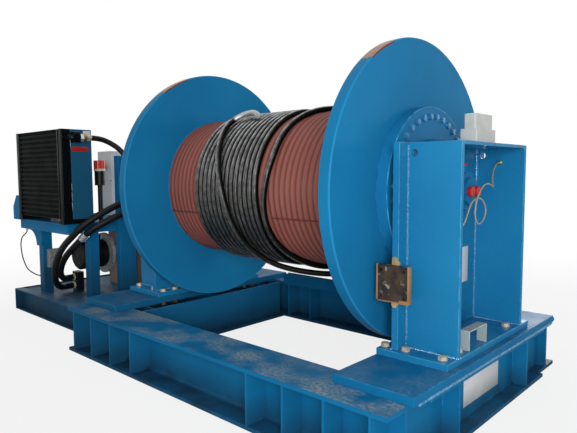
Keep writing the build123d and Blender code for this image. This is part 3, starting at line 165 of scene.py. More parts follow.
add(sky, "ShaderNodeOutputWorld", {"Surface": shown})


# Materials

def material(name, sockets):
    """New material with constant values on its shader: it, its tree, its shader and object coordinates."""
    made = bpy.data.materials.new(name)
    made.use_nodes = True
    tree = made.node_tree
    shader = tree.nodes["Principled BSDF"]
    for key, value in sockets.items():
        shader.inputs[key].default_value = value
    return made, tree, shader, add(tree, "ShaderNodeTexCoord", out="Object")


def patches(tree, place, size, low=0.3, high=0.7, least=0.0, most=1.0, stretch=(1, 1, 1), detail=4.0):
    """Soft patches of a size in millimetres: low and high set their cover, least and most their values."""
    spot = add(tree, "ShaderNodeMapping", {"Vector": place, "Scale": stretch})
    noise = add(tree, "ShaderNodeTexNoise", {"Vector": spot, "Scale": 1000 / size, "Detail": detail})
    return add(tree, "ShaderNodeMapRange", {
        "Value": noise, "From Min": low, "From Max": high, "To Min": least, "To Max": most,
    })


def dressed(tree, shader, colour, gloss, relief, depth):
    """Gives a shader its colour, its roughness and a relief with a depth in millimetres."""
    bump = add(tree, "ShaderNodeBump", {"Distance": depth / 1000, "Height": relief})
    for socket, output in (("Base Color", colour), ("Roughness", gloss), ("Normal", bump)):
        tree.links.new(output, shader.inputs[socket])


def dust_and_darkening(tree, place, colour, gloss, dust, end_darkening):
    """Darker towards the floor, dust on trodden faces, and darker low down towards the power unit: a colour and
    a roughness.
    """
    height = add(tree, "ShaderNodeSeparateXYZ", {0: place}, "Z")
    # darker towards the bottom, in blotches
    low = add(tree, "ShaderNodeMapRange", {"Value": height, "From Min": LOW_DARK_TO, "From Max": LOW_DARK_FULL})
    blotches = patches(tree, place, 160, least=0.45, most=0.85, detail=6.0)
    low_darkening = add(tree, "ShaderNodeMath", {0: low, 1: blotches}, operation="MULTIPLY")
    colour = add(tree, "ShaderNodeMix", {0: low_darkening, 6: colour, 7: linear(DARK_TONE)}, 2, data_type="RGBA")
    normal = add(tree, "ShaderNodeNewGeometry", out="Normal")
    facing = add(tree, "ShaderNodeSeparateXYZ", {0: normal}, "Z")
    upper = add(tree, "ShaderNodeMapRange", {"Value": facing, "From Min": UPPER[0], "From Max": UPPER[1]})
    clear = add(tree, "ShaderNodeMath", {0: upper, 1: low}, operation="SUBTRACT", use_clamp=True)
    trodden = add(tree, "ShaderNodeMapRange", {
        "Value": height, "From Min": TRODDEN_TO, "From Max": DECK_UNDER, "To Min": DUST_ABOVE,
    })
    # prints are about a foot long, and their grain is drawn at 20 mm so that it shows
    prints = patches(tree, place, 260, 0.40, 0.66, detail=3.0)
    grains = patches(tree, place, 20, 0.30, 0.72, detail=8.0)
    settled = clear
    for mask in (trodden, prints, grains):
        settled = add(tree, "ShaderNodeMath", {0: settled, 1: mask}, operation="MULTIPLY")
    colour = add(tree, "ShaderNodeMix", {0: settled, 6: colour, 7: linear(dust)}, 2, data_type="RGBA")
    gloss = add(tree, "ShaderNodeMath", {0: settled, 1: DUST_ROUGH, 2: gloss}, operation="MULTIPLY_ADD")
    # darker towards the power unit's end, below a height
    along = add(tree, "ShaderNodeSeparateXYZ", {0: place}, "X")
    towards_end = add(tree, "ShaderNodeMapRange", {
        "Value": along, "From Min": END_DARK_FROM, "From Max": END_DARK_FULL, "To Max": end_darkening,
    })
    lower = add(tree, "ShaderNodeMapRange", {"Value": height, "From Min": END_DARK_TOP, "From Max": TRODDEN_TO})
    towards_end = add(tree, "ShaderNodeMath", {0: towards_end, 1: lower}, operation="MULTIPLY")
    colour = add(tree, "ShaderNodeMix", {0: towards_end, 6: colour, 7: linear(DARK_TONE)}, 2, data_type="RGBA")
    return colour, gloss


def enamel(name, lit, deep, worn_highlit_edge, rough, dust=None, shine=0.15, edge_cover=(0.42, 0.6), end_darkening=0.0):
    """Sprayed enamel on steel: uneven depth of colour, slight orange peel, edges lighter as worn paint and a
    painted highlight, settled dust.
    """
    made, tree, shader, place = material(name, {"IOR": 1.5, "Specular IOR Level": shine})
    depth = patches(tree, place, 700, detail=2.0)
    colour = add(tree, "ShaderNodeMix", {0: depth, 6: linear(lit), 7: linear(deep)}, 2, data_type="RGBA")
    # rounded edges lighter: partly worn paint, partly a painted highlight
    edges = add(tree, "ShaderNodeAttribute", out="Fac", attribute_name="rounded_edge_mark")
    edges = add(tree, "ShaderNodeMath", {0: edges, 1: patches(tree, place, 60, *edge_cover)}, operation="MULTIPLY")
    colour = add(tree, "ShaderNodeMix", {0: edges, 6: colour, 7: linear(worn_highlit_edge)}, 2, data_type="RGBA")
    gloss = patches(tree, place, 150, least=rough - 0.05, most=rough + 0.08)
    if dust:
        colour, gloss = dust_and_darkening(tree, place, colour, gloss, dust, end_darkening)
    # orange peel is a few millimetres across; drawn at 14 mm so that it shows
    peel = patches(tree, place, 14, detail=1.0)
    dressed(tree, shader, colour, gloss, peel, 0.12)
    return made


def moulded(name, colour, shade, rough, grain=3.0, depth=0.05, shine=0.4):
    """Moulded plastic, rubber or paper: an even, faintly shaded colour, a grain and its depth in mm."""
    made, tree, shader, place = material(name, {"IOR": 1.48, "Specular IOR Level": shine})
    cloud = patches(tree, place, 120, 0.35)
    tone = add(tree, "ShaderNodeMix", {0: cloud, 6: linear(colour), 7: linear(shade)}, 2, data_type="RGBA")
    edges = add(tree, "ShaderNodeAttribute", out="Fac", attribute_name="rounded_edge_mark")
    edges = add(tree, "ShaderNodeMath", {0: edges, 1: 0.5}, operation="MULTIPLY")
    tone = add(tree, "ShaderNodeMix", {0: edges, 6: tone, 7: linear(shade)}, 2, data_type="RGBA")
    gloss = patches(tree, place, 40, least=rough - 0.06, most=rough + 0.06)
    # a mould's grain is under a millimetre; drawn at a few so that it shows
    skin = patches(tree, place, grain, detail=2.0)
    dressed(tree, shader, tone, gloss, skin, depth)
    return made


def metal(name, bright, dull, rough, metallic, size=40, stretch=(1, 1, 1)):
    """Bare or plated metal: brighter and duller patches that also change its gloss; on weld beads and hub bolts
    the brighter patches are painted glints.
    """
    made, tree, shader, place = material(name, {"Metallic": metallic})
    mask = patches(tree, place, size, 0.35, 0.65, stretch=stretch, detail=6.0)
    tone = add(tree, "ShaderNodeMix", {0: mask, 6: linear(bright), 7: linear(dull)}, 2, data_type="RGBA")
    gloss = add(tree, "ShaderNodeMapRange", {"Value": mask, "To Min": rough, "To Max": rough + 0.22})
    # pits and tool marks are under a millimetre; drawn at 6 mm so that they show
    pits = patches(tree, place, 6)
    dressed(tree, shader, tone, gloss, pits, 0.08)
    return made


# Dust, and darkening low down and towards the power unit, on the steelwork
DARK_TONE = "#212F3B"        # darker tone, low down and towards the power unit
LOW_DARK_FULL = 0.02        # height up to which the darkening is full
LOW_DARK_TO = 0.20          # and up to which it reaches
TRODDEN_TO = 0.40        # top of the deck, where people tread less
UPPER = (0.8, 0.98)      # upward part of the normal where dust starts to lie, and where it lies well
DUST_ABOVE = 0.3         # share of the dust above the deck
DUST_ROUGH = 0.45        # roughness that full dust adds
END_DARK_FROM = 0.2          # place along the skid where the darkening towards the power unit starts
END_DARK_FULL = -2.6         # and where it is full
END_DARK_TOP = 0.75          # height that it reaches

# enamel on the skid: lit blue, deeper in patches, sandy dust on top faces, darker low down and towards the
# power unit; a little darker than the pedestals' as painted shade
skid_enamel = enamel("skid_enamel", "#1773A4", "#126694", "#2A80AC", 0.36, "#A2AAA4", 0.04, end_darkening=0.62)
# enamel on the pedestals: the same paint, a little lighter as painted light, and cleaner
pedestal_enamel = enamel("pedestal_enamel", "#2282B2", "#1B75A5", "#4394BE", 0.26, "#8A9CA6", 0.12)
# enamel on the drum: the same paint, kept clean by its turning
drum_enamel = enamel("drum_enamel", "#1C7BAC", "#186FA0", "#4E99C6", 0.2, shine=0.05)
# cooler's works paint: a duller, greener blue
cooler_enamel = enamel("cooler_enamel", "#205C7B", "#1D546F", "#3F6A80", 0.38, shine=0.08)
# black works paint on the cooler, motors and filter: half gloss, slightly green
black_enamel = enamel("black_enamel", "#0C100F", "#131716", "#2A3132", 0.42, "#2E3230", 0.2)
# panel's grey stove enamel
grey_enamel = enamel("grey_enamel", "#D6D8D9", "#CBCDCF", "#DCDEDF", 0.45, "#C4C2BB")
# pale grey bracket paint
pale_enamel = enamel("pale_enamel", "#A9B4B4", "#93A2A5", "#C9CDC8", 0.5, "#B5B5AB")
# glossier black of the cooler's end tanks
gloss_black = enamel("gloss_black", "#07090A", "#0C1011", "#1C2225", 0.26, shine=0.1)
# matt black of the cooler's fins, without settled dust
fin_black = enamel("fin_black", "#0A0F0E", "#101615", "#151C1C", 0.6, shine=0.06)
# reservoir's grey-brown primer, matt
tank_primer = enamel("tank_primer", "#84756A", "#6E6056", "#94867B", 0.6, "#8F857A")
# the barrel's primer, thick and darker, over its seam
seam_primer = enamel("seam_primer", "#703A33", "#62302B", "#7E4841", 0.6, shine=0.12)
# moulded plastics: half-matt grey boxes, glossier red caps, orange and white rings
grey_abs = moulded("grey_abs", "#C6C8C5", "#B4B6B2", 0.42)
red_abs = moulded("red_abs", "#C4281F", "#A81E18", 0.3)
orange_abs = moulded("orange_abs", "#DA3A1E", "#BE2F19", 0.32)
white_nylon = moulded("white_nylon", "#DAD3C0", "#C2BAA4", 0.4)
# hose cover with a cloth-wrap grain, and smooth cable sheaths
hose_rubber = moulded("hose_rubber", "#0D0E0F", "#16181A", 0.46, 5.0, 0.15, 0.2)
black_pvc = moulded("black_pvc", "#121212", "#1A1A1A", 0.4, shine=0.25)
beige_pvc = moulded("beige_pvc", "#A69D86", "#8E8672", 0.45)
# crepe paper tapes, matt and sandy
masking_tape = moulded("masking_tape", "#AE8258", "#8F6A47", 0.6)
paper_tape = moulded("paper_tape", "#C2AC7E", "#9E875C", 0.65)
# zinc plate on fasteners, gone dull and creamy
dull_zinc = metal("dull_zinc", "#D3CCB9", "#A39C8B", 0.38, 0.4)
# nuts under the deck, dark brown
dark_nut_steel = metal("dark_nut_steel", "#5F5348", "#2C2723", 0.42, 0.5, 20)
# turned steel with marks along its axis
machined_steel = metal("machined_steel", "#B4B4B2", "#8C8C8A", 0.25, 0.95, 60, (1, 0.2, 0.2))
# zinc plate on unions and collars, still bright
bright_zinc = metal("bright_zinc", "#E4EAEC", "#B9C4C8", 0.18, 0.7)
# hub bolts in the drum's blue, partly metallic, with small pale patches that are painted glints
glinting_bolt_paint = metal("glinting_bolt_paint", "#5FA6CC", "#1F73A4", 0.12, 0.6, 12)
# enamel on weld beads: the same paint with small pale patches that are painted glints
weld_enamel = metal("weld_enamel", "#6FA6C8", "#196798", 0.15, 0.2, 14)
# brass fittings, browned in patches
raw_brass = metal("raw_brass", "#C9A868", "#8F7440", 0.3, 0.9)
# sand-cast housings, grey and grainy
cast_aluminium = metal("cast_aluminium", "#A9ACAD", "#85898B", 0.4, 0.35, 25)


def from_axis(tree, place):
    """Vector to a place from the nearest point of the drum's axis."""
    apart = add(tree, "ShaderNodeVectorMath", {0: place, 1: (0, 0, AXIS_Z)}, operation="SUBTRACT")
    return add(tree, "ShaderNodeVectorMath", {0: apart, 1: (0, 1, 1)}, operation="MULTIPLY")


def painted_over(made, mask, tone):
    """Lays a tone over a finished material's colour where a mask is full."""
    tree = made.node_tree
    socket = tree.nodes["Principled BSDF"].inputs["Base Color"]
    under = socket.links[0].from_socket
    colour = add(tree, "ShaderNodeMix", {0: mask, 6: under, 7: linear(tone)}, 2, data_type="RGBA")
    tree.links.new(colour, socket)


def rusted():
    """Hot-rolled plate left bare: brown rust with darker scale and rubbed bright spots."""
    made, tree, shader, place = material("rusted_steel", {"Metallic": 0.35})
    scale = patches(tree, place, 60, 0.4, 0.6, detail=7.0)
    colour = linear("#51402F")
    rubbed = patches(tree, place, 34, 0.6, 0.72, detail=6.0)
    for mask, tone in ((scale, "#2A2523"), (rubbed, "#A09890")):
        colour = add(tree, "ShaderNodeMix", {0: mask, 6: colour, 7: linear(tone)}, 2, data_type="RGBA")
    gloss = patches(tree, place, 30, 0.4, least=0.45, most=0.8)
    # rust pits are a millimetre or two across; drawn at 9 mm so that they show
    pits = patches(tree, place, 9, detail=6.0)
    dressed(tree, shader, colour, gloss, pits, 0.6)
    return made


def greased():
    """Steel wire under dark grease: black hollows, silver crowns on the outer side, rubbed bare and brighter as
    a painted highlight, a pale end.
    """
    made, tree, shader, place = material("greased_wire", {"Metallic": 0.9})
    crown = add(tree, "ShaderNodeAttribute", out="Fac", attribute_name="crown")
    bead = add(tree, "ShaderNodeMapRange", {"Value": crown, "From Min": 0.4, "From Max": 0.85})
    served = add(tree, "ShaderNodeAttribute", out="Fac", attribute_name="served")
    outward = add(tree, "ShaderNodeVectorMath", {0: from_axis(tree, place)}, operation="NORMALIZE")
    normal = add(tree, "ShaderNodeTexCoord", out="Normal")
    outer = add(tree, "ShaderNodeVectorMath", {0: outward, 1: normal}, "Value", operation="DOT_PRODUCT")
    outer = add(tree, "ShaderNodeMapRange", {"Value": outer, "From Min": 0.62, "From Max": 0.96})
    wiped = patches(tree, place, 35, 0.4, 0.62, least=0.42, detail=5.0)
    # silver on outward crowns: rubbed steel, and a painted highlight along each turn
    bright = outer
    for mask in (wiped, bead):
        bright = add(tree, "ShaderNodeMath", {0: bright, 1: mask}, operation="MULTIPLY")
    colour = linear("#1B1A18")
    for mask, tone in ((bright, "#F0F2F2"), (served, "#C3C6C4")):
        colour = add(tree, "ShaderNodeMix", {0: mask, 6: colour, 7: linear(tone)}, 2, data_type="RGBA")
    gloss = add(tree, "ShaderNodeMapRange", {"Value": bright, "To Min": 0.5, "To Max": 0.2})
    # wires are 2 to 3 mm thick; drawn at 5 mm so that they show
    wires = patches(tree, place, 5)
    dressed(tree, shader, colour, gloss, wires, 0.3)
    return made


# Bare stretch of the flanges' rims
RUBBED_R = 0.970         # its radius, which is the flanges'
RUBBED_HALF = 0.135      # half its length
RUBBED_EDGE = 0.012      # width of its soft border
RUBBED_AT = math.radians(61)     # its place round the drum, up from the front
RUBBED_TONES = (         # colour, and how far in from the rim it starts and is full
    ("#6E342B", 0.016, 0.010), ("#B08E7B", 0.006, 0.002),
)


def flange_paint():
    """Drum enamel with a stretch of each rim rubbed down to bare metal, dark red at its border, and its rounded
    edges lighter nearly all round as a painted highlight.
    """
    # the lighter edge covers nearly all the rim: a painted highlight along it
    made = enamel("flange_enamel", "#1C7BAC", "#186FA0", "#2583B4", 0.17, shine=0.03, edge_cover=(0.1, 0.4))
    tree = made.node_tree
    place = add(tree, "ShaderNodeTexCoord", out="Object")
    apart = from_axis(tree, place)
    reach = add(tree, "ShaderNodeVectorMath", {0: apart}, "Value", operation="LENGTH")
    spot = (0, -RUBBED_R * math.cos(RUBBED_AT), RUBBED_R * math.sin(RUBBED_AT))
    off = add(tree, "ShaderNodeVectorMath", {0: apart, 1: spot}, "Value", operation="DISTANCE")
    ragged = patches(tree, place, 45, least=-0.02, most=0.02, detail=6.0)
    off = add(tree, "ShaderNodeMath", {0: off, 1: ragged}, operation="ADD")
    near = add(tree, "ShaderNodeMapRange", {
        "Value": off, "From Min": RUBBED_HALF, "From Max": RUBBED_HALF - RUBBED_EDGE,
    })
    for tone, start, full in RUBBED_TONES:
        rim = add(tree, "ShaderNodeMapRange", {
            "Value": reach, "From Min": RUBBED_R - start, "From Max": RUBBED_R - full,
        })
        bare = add(tree, "ShaderNodeMath", {0: near, 1: rim}, operation="MULTIPLY")
        painted_over(made, bare, tone)
    return made


def groove_primer():
    """Anti-rust primer on the barrel: matt brown-red, with a dark line along the crests between grooves, partly
    grease and partly painted shade.
    """
    made = enamel("barrel_primer", "#985A4F", "#8A4E45", "#9A5C54", 0.5, shine=0.28)
    crest = add(made.node_tree, "ShaderNodeAttribute", out="Fac", attribute_name="crest")
    # dark line on the crests: grease, and painted shade between the rope's turns
    grease_and_shade = add(made.node_tree, "ShaderNodeMath", {0: crest, 1: 0.9}, operation="MULTIPLY")
    painted_over(made, grease_and_shade, "#43191A")
    return made


flange_enamel = flange_paint()
barrel_primer = groove_primer()
rusted_steel = rusted()
greased_wire = greased()
FINISH_OF = {
    "blue_paint": skid_enamel, "barrel_primer": barrel_primer, "wire_rope": greased_wire,
    "bolt_steel": dull_zinc, "machined_steel": machined_steel, "rusty_steel": rusted_steel,
    "black_paint": black_enamel, "grey_paint": grey_enamel, "grey_plastic": grey_abs, "red_plastic": red_abs,
    "hose_rubber": hose_rubber, "cable_black": black_pvc, "cable_beige": beige_pvc, "tank_steel": tank_primer,
    "aluminium": cast_aluminium,
}


# Making and keeping pieces

MERGE = 2e-5             # points of a CAD mesh nearer than this are one
FLAT = math.radians(0.5)     # its faces within this angle are one
SHARP = math.radians(32)     # its edges over this angle are eased,
SHORTEST = 0.012         # if they are longer than this


def placed(name, mesh, angle):
    """Object for a mesh, smooth up to an angle in degrees."""
    mesh.shade_smooth()
    mesh.set_sharp_from_angle(angle=math.radians(angle))
    item = bpy.data.objects.new(name, mesh)
    scene.collection.objects.link(item)
    return item


def from_shape(name, shape, angle=30.0):
    """Object from an edited shape, with its faces turned outwards."""
    bmesh.ops.recalc_face_normals(shape, faces=shape.faces)
    mesh = bpy.data.meshes.new(name)
    shape.to_mesh(mesh)
    shape.free()
    return placed(name, mesh, angle)


def plain_mesh(item):
    """New mesh of what an object's modifiers or its curve make."""
    graph = bpy.context.evaluated_depsgraph_get()
    return bpy.data.meshes.new_from_object(item.evaluated_get(graph), depsgraph=graph)


def baked(item):
    """The object with what its modifiers make as its own plain mesh."""
    mesh = plain_mesh(item)
    item.modifiers.clear()
    item.data = mesh
    return item


def keep(item, finish, body, slot, *stands_for):
    """Gives a piece its material and body, and hides the CAD nodes it stands for; its slot is not used."""
    if not item.data.materials:
        item.data.materials.append(finish)
    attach(item, body)
    if stands_for:
        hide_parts(*stands_for)
    return item


def eased_edges(shape, edges, width):
    """Rounds edges over by a width: the new faces."""
    made = bmesh.ops.bevel(
        shape, geom=edges, offset=width, segments=2, profile=0.5, affect="EDGES", clamp_overlap=True,
    )
    return made["faces"]


def softened(node, width, finish):
    """Stands for a CAD node: its sharp edges, but for the shortest, are rounded over and marked for an edge
    tone (on enamel, wear and a painted highlight).
    """
    shape = bmesh.new()
    shape.from_mesh(nodes[node].data)
    edge_cover = shape.faces.layers.float.new("rounded_edge_mark")
    bmesh.ops.remove_doubles(shape, verts=shape.verts, dist=MERGE)
    bmesh.ops.dissolve_limit(shape, angle_limit=FLAT, verts=shape.verts, edges=shape.edges)
    sharp = [
        edge for edge in shape.edges
        if len(edge.link_faces) == 2 and edge.calc_length() > SHORTEST and edge.calc_face_angle(0) > SHARP
    ]
    for face in eased_edges(shape, sharp, width):
        face[edge_cover] = 1.0
    mesh = bpy.data.meshes.new(node + "_finished")
    shape.to_mesh(mesh)
    shape.free()
    item = placed(node + "_finished", mesh, angle=40)
    item.modifiers.new("even", "WEIGHTED_NORMAL").keep_sharp = True
    baked(item)
    slot = SLOT_OF[node]
    return keep(item, finish or FINISH_OF[slot], BODY_OF[node], slot, node)


def repainted(item, finish, low, high):
    """Gives a piece's faces inside a box another material."""
    item.data.materials.append(finish)
    last = len(item.data.materials) - 1
    for face in item.data.polygons:
        if all(a <= c <= b for a, c, b in zip(low, face.center, high)):
            face.material_index = last


def circle(count, radius, shift):
    """Evenly spaced points of a circle as pairs; the first lies a share of a step past its start."""
    turns = [2 * math.pi * (k + shift) / count for k in range(count)]
    return [(radius * math.cos(a), radius * math.sin(a)) for a in turns]


def turned(name, spot, way, profile, steps=32):
    """Turned piece on an axis: its profile is pairs of a distance along it from the spot and a radius."""
    axis = Vector(way).normalized()
    side = axis.orthogonal().normalized()
    other = axis.cross(side)
    shape = bmesh.new()
    rings = []
    for along, radius in profile:
        middle = Vector(spot) + along * axis
        rings.append([shape.verts.new(middle + a * side + b * other) for a, b in circle(steps, radius, 0)])
    for ring, after in zip(rings, rings[1:]):
        for k in range(steps):
            m = (k + 1) % steps
            shape.faces.new((ring[k], ring[m], after[m], after[k]))
    shape.faces.new(rings[0])
    shape.faces.new(rings[-1])
    return from_shape(name, shape)


def strips(name, boxes, width):
    """Flat strips given by their opposite corners, in one piece with edges eased by a width."""
    shape = bmesh.new()
    for low, high in boxes:
        made = bmesh.ops.create_cube(shape, size=1.0)
        for vertex in made["verts"]:
            vertex.co = Vector(a + (b - a) * (c + 0.5) for a, b, c in zip(low, high, vertex.co))
    eased_edges(shape, list(shape.edges), width)
    return from_shape(name, shape)


def new_tree(name, **sizes):
    """Node tree for repeated shapes, with an input for each size: the tree, its inputs and its output."""
    tree = bpy.data.node_groups.new(name, "GeometryNodeTree")
    tree.interface.new_socket("Geometry", in_out="INPUT", socket_type="NodeSocketGeometry")
    tree.interface.new_socket("Geometry", in_out="OUTPUT", socket_type="NodeSocketGeometry")
    kinds = {int: "NodeSocketInt", float: "NodeSocketFloat", tuple: "NodeSocketVector"}
    for label, value in sizes.items():
        socket = tree.interface.new_socket(label, in_out="INPUT", socket_type=kinds[type(value)])
        socket.default_value = value
    tree.interface.new_socket("finish", in_out="INPUT", socket_type="NodeSocketMaterial")
    return tree, tree.nodes.new("NodeGroupInput").outputs, tree.nodes.new("NodeGroupOutput").inputs[0]


def closed(tree, geometry, given, result):
    """The tree, ended in real geometry with its material."""
    real = add(tree, "GeometryNodeRealizeInstances", {0: geometry})
    done = add(tree, "GeometryNodeSetMaterial", {"Geometry": real, "Material": given["finish"]})
    tree.links.new(done, result)
    return tree


def grown(name, tree, finish, body, slot, points=(), edges=(), stands_for=(), **sizes):
    """Runs a tree on points or lines, and keeps its result as a piece with a plain mesh."""
    mesh = bpy.data.meshes.new(name)
    mesh.from_pydata(list(points) or [(0, 0, 0)], list(edges), [])
    item = bpy.data.objects.new(name, mesh)
    scene.collection.objects.link(item)
    modifier = item.modifiers.new("repeat", "NODES")
    modifier.node_group = tree
    given = {"finish": finish, **sizes}
    for socket in tree.interface.items_tree:
        if socket.in_out == "INPUT" and socket.name in given:
            modifier[socket.identifier] = given[socket.name]
    return keep(baked(item), finish, body, slot, *stands_for)


def bolt_tree():
    """Hexagon heads with a domed top on round washers, each turned a little differently."""
    tree, given, result = new_tree(
        "bolts", flats=0.046, head=0.019, washer=0.028, washer_height=0.004, axis=(0.0, 0.0, 1.0), seed=3,
    )
    # shares of the width across flats and of the head's height
    shares = (("flats", 1 / math.sqrt(3)), ("flats", 0.47), ("flats", 0.36), ("head", 0.86), ("head", 0.14))
    corner, inner, dome, low, top = [
        add(tree, "ShaderNodeMath", {0: given[size], 1: share}, operation="MULTIPLY")
        for size, share in shares
    ]
    raised = add(tree, "ShaderNodeMath", {0: given["washer_height"], 1: low}, operation="ADD")
    shapes = []
    for sides, lower, upper, height, lift in (
        (20, given["washer"], given["washer"], given["washer_height"], 0.0),
        (6, corner, corner, low, given["washer_height"]),
        (18, inner, dome, top, raised),
    ):
        cone = add(tree, "GeometryNodeMeshCone", {
            "Vertices": sides, "Radius Top": upper, "Radius Bottom": lower, "Depth": height,
        })
        offset = add(tree, "ShaderNodeCombineXYZ", {2: lift})
        shapes.append(add(tree, "GeometryNodeTransform", {"Geometry": cone, "Translation": offset}))
    join = add(tree, "GeometryNodeJoinGeometry")
    for shape in shapes:
        tree.links.new(shape, join.node.inputs[0])
    upright = add(tree, "FunctionNodeAlignRotationToVector", {"Vector": given["axis"]}, axis="Z")
    laid = add(tree, "GeometryNodeInstanceOnPoints", {
        "Points": given["Geometry"], "Instance": join, "Rotation": upright,
    })
    # up to a sixth of a turn, after which a hexagon looks the same
    spin = add(tree, "FunctionNodeRandomValue", {
        "Min": (0, 0, 0), "Max": (0, 0, 1.05), "Seed": given["seed"],
    }, data_type="FLOAT_VECTOR")
    spun = add(tree, "GeometryNodeRotateInstances", {"Instances": laid, "Rotation": spin})
    return closed(tree, spun, given, result)


def bead_tree():
    """Weld bead: overlapping flattened drops along lines, slightly uneven."""
    tree, given, result = new_tree(
        "weld_bead", pitch=0.009, width=0.008, height=0.006, smallest=0.85, largest=1.2, seed=5,
    )
    curve = add(tree, "GeometryNodeMeshToCurve", {0: given["Geometry"]})
    points = add(tree, "GeometryNodeCurveToPoints", {"Curve": curve, "Length": given["pitch"]}, mode="LENGTH")
    drop = add(tree, "GeometryNodeMeshUVSphere", {"Segments": 8, "Rings": 5, "Radius": 1.0})
    uneven = add(tree, "FunctionNodeRandomValue", {
        2: given["smallest"], 3: given["largest"], "Seed": given["seed"],
    }, 1)
    size = add(tree, "ShaderNodeCombineXYZ", {0: given["height"], 1: given["height"], 2: given["width"]})
    size = add(tree, "ShaderNodeVectorMath", {0: size, "Scale": uneven}, operation="SCALE")
    laid = add(tree, "GeometryNodeInstanceOnPoints", {
        "Points": points, "Instance": drop, "Rotation": points.node.outputs["Rotation"], "Scale": size,
    })
    return closed(tree, laid, given, result)


def slat_tree():
    """Row of equal bars, evenly spaced from a start point."""
    tree, given, result = new_tree(
        "slats", count=10, start=(0.0, 0.0, 0.0), step=(0.0, 0.0, 0.03), size=(1.0, 0.1, 0.01),
    )
    row = add(tree, "GeometryNodeMeshLine", {
        "Count": given["count"], "Start Location": given["start"], "Offset": given["step"],
    })
    bar = add(tree, "GeometryNodeMeshCube", {"Size": given["size"]})
    laid = add(tree, "GeometryNodeInstanceOnPoints", {"Points": row, "Instance": bar})
    return closed(tree, laid, given, result)


def rope_tree():
    """Wire rope along a line: a section with a lobe for each strand, which turns once in a lay length."""
    tree, given, result = new_tree(
        "rope", radius=ROPE_R, hollow=0.72, strands=12, lay=0.27, step=0.016, served_from=56.5,
    )
    curve = add(tree, "GeometryNodeMeshToCurve", {0: given["Geometry"]})
    curve = add(tree, "GeometryNodeResampleCurve", {"Curve": curve, "Length": given["step"]}, mode="LENGTH")
    along = add(tree, "GeometryNodeSplineParameter", out="Length")
    turns = add(tree, "ShaderNodeMath", {0: along, 1: given["lay"]}, operation="DIVIDE")
    tilt = add(tree, "ShaderNodeMath", {0: turns, 1: 2 * math.pi}, operation="MULTIPLY")
    curve = add(tree, "GeometryNodeSetCurveTilt", {"Curve": curve, "Tilt": tilt})
    end = add(tree, "ShaderNodeMath", {0: along, 1: given["served_from"]}, operation="GREATER_THAN")
    curve = add(tree, "GeometryNodeStoreNamedAttribute", {"Geometry": curve, "Name": "served", "Value": end})
    # two points for each strand: its crown and the hollow beside it
    index = add(tree, "GeometryNodeInputIndex")
    crown = add(tree, "ShaderNodeMath", {0: index, 1: 2.0}, operation="MODULO")
    reach = add(tree, "ShaderNodeMapRange", {"Value": crown, "To Min": given["hollow"], "To Max": 1.0})
    sides = add(tree, "ShaderNodeMath", {0: given["strands"], 1: 2.0}, operation="MULTIPLY")
    ring = add(tree, "GeometryNodeCurvePrimitiveCircle", {"Resolution": sides, "Radius": given["radius"]})
    centre = add(tree, "GeometryNodeInputPosition")
    spot = add(tree, "ShaderNodeVectorMath", {0: centre, "Scale": reach}, operation="SCALE")
    ring = add(tree, "GeometryNodeStoreNamedAttribute", {"Geometry": ring, "Name": "crown", "Value": crown})
    ring = add(tree, "GeometryNodeSetPosition", {"Geometry": ring, "Position": spot})
    skin = add(tree, "GeometryNodeCurveToMesh", {"Curve": curve, "Profile Curve": ring, "Fill Caps": True})
    return closed(tree, skin, given, result)


bolts = bolt_tree()
weld_bead = bead_tree()
slats = slat_tree()
rope_strands = rope_tree()

# Hoses and cables: routes between their fittings
PRESSURE_ROUTE = [
    (-2.030, -0.265, 1.185), (-2.030, -0.345, 1.185), (-2.045, -0.440, 1.142), (-2.065, -0.560, 1.084),
    (-2.100, -0.664, 1.020), (-2.150, -0.748, 0.945), (-2.205, -0.795, 0.868), (-2.320, -0.808, 0.795),
    (-2.470, -0.800, 0.695), (-2.570, -0.803, 0.572), (-2.625, -0.795, 0.440), (-2.690, -0.745, 0.330),
    (-2.780, -0.655, 0.275), (-2.845, -0.580, 0.262), (-2.845, -0.500, 0.262),
]
RETURN_ROUTE = [
    (-1.975, -0.265, 1.098), (-1.975, -0.345, 1.098), (-1.998, -0.440, 1.052), (-2.030, -0.550, 1.000),
    (-2.080, -0.650, 0.940), (-2.150, -0.708, 0.865), (-2.270, -0.712, 0.790), (-2.415, -0.706, 0.715),
    (-2.555, -0.712, 0.622), (-2.655, -0.715, 0.502), (-2.715, -0.690, 0.415), (-2.778, -0.630, 0.364),
    (-2.845, -0.580, 0.352), (-2.845, -0.500, 0.352),
]
COOLER_ROUTE = [
    (-2.166, -0.600, 1.806), (-2.166, -0.510, 1.806), (-2.145, -0.410, 1.768), (-2.105, -0.330, 1.706),
    (-2.058, -0.285, 1.625), (-2.025, -0.250, 1.540), (-2.015, -0.232, 1.450), (-2.015, -0.232, 1.372),
]
CABLE_ROUTE = [
    (-3.275, -0.780, 0.880), (-3.275, -0.780, 0.838), (-3.330, -0.788, 0.806), (-3.405, -0.793, 0.762),
    (-3.443, -0.790, 0.680), (-3.425, -0.790, 0.590), (-3.375, -0.790, 0.500), (-3.305, -0.780, 0.415),
    (-3.215, -0.730, 0.365), (-3.160, -0.690, 0.352), (-3.100, -0.690, 0.352),
]
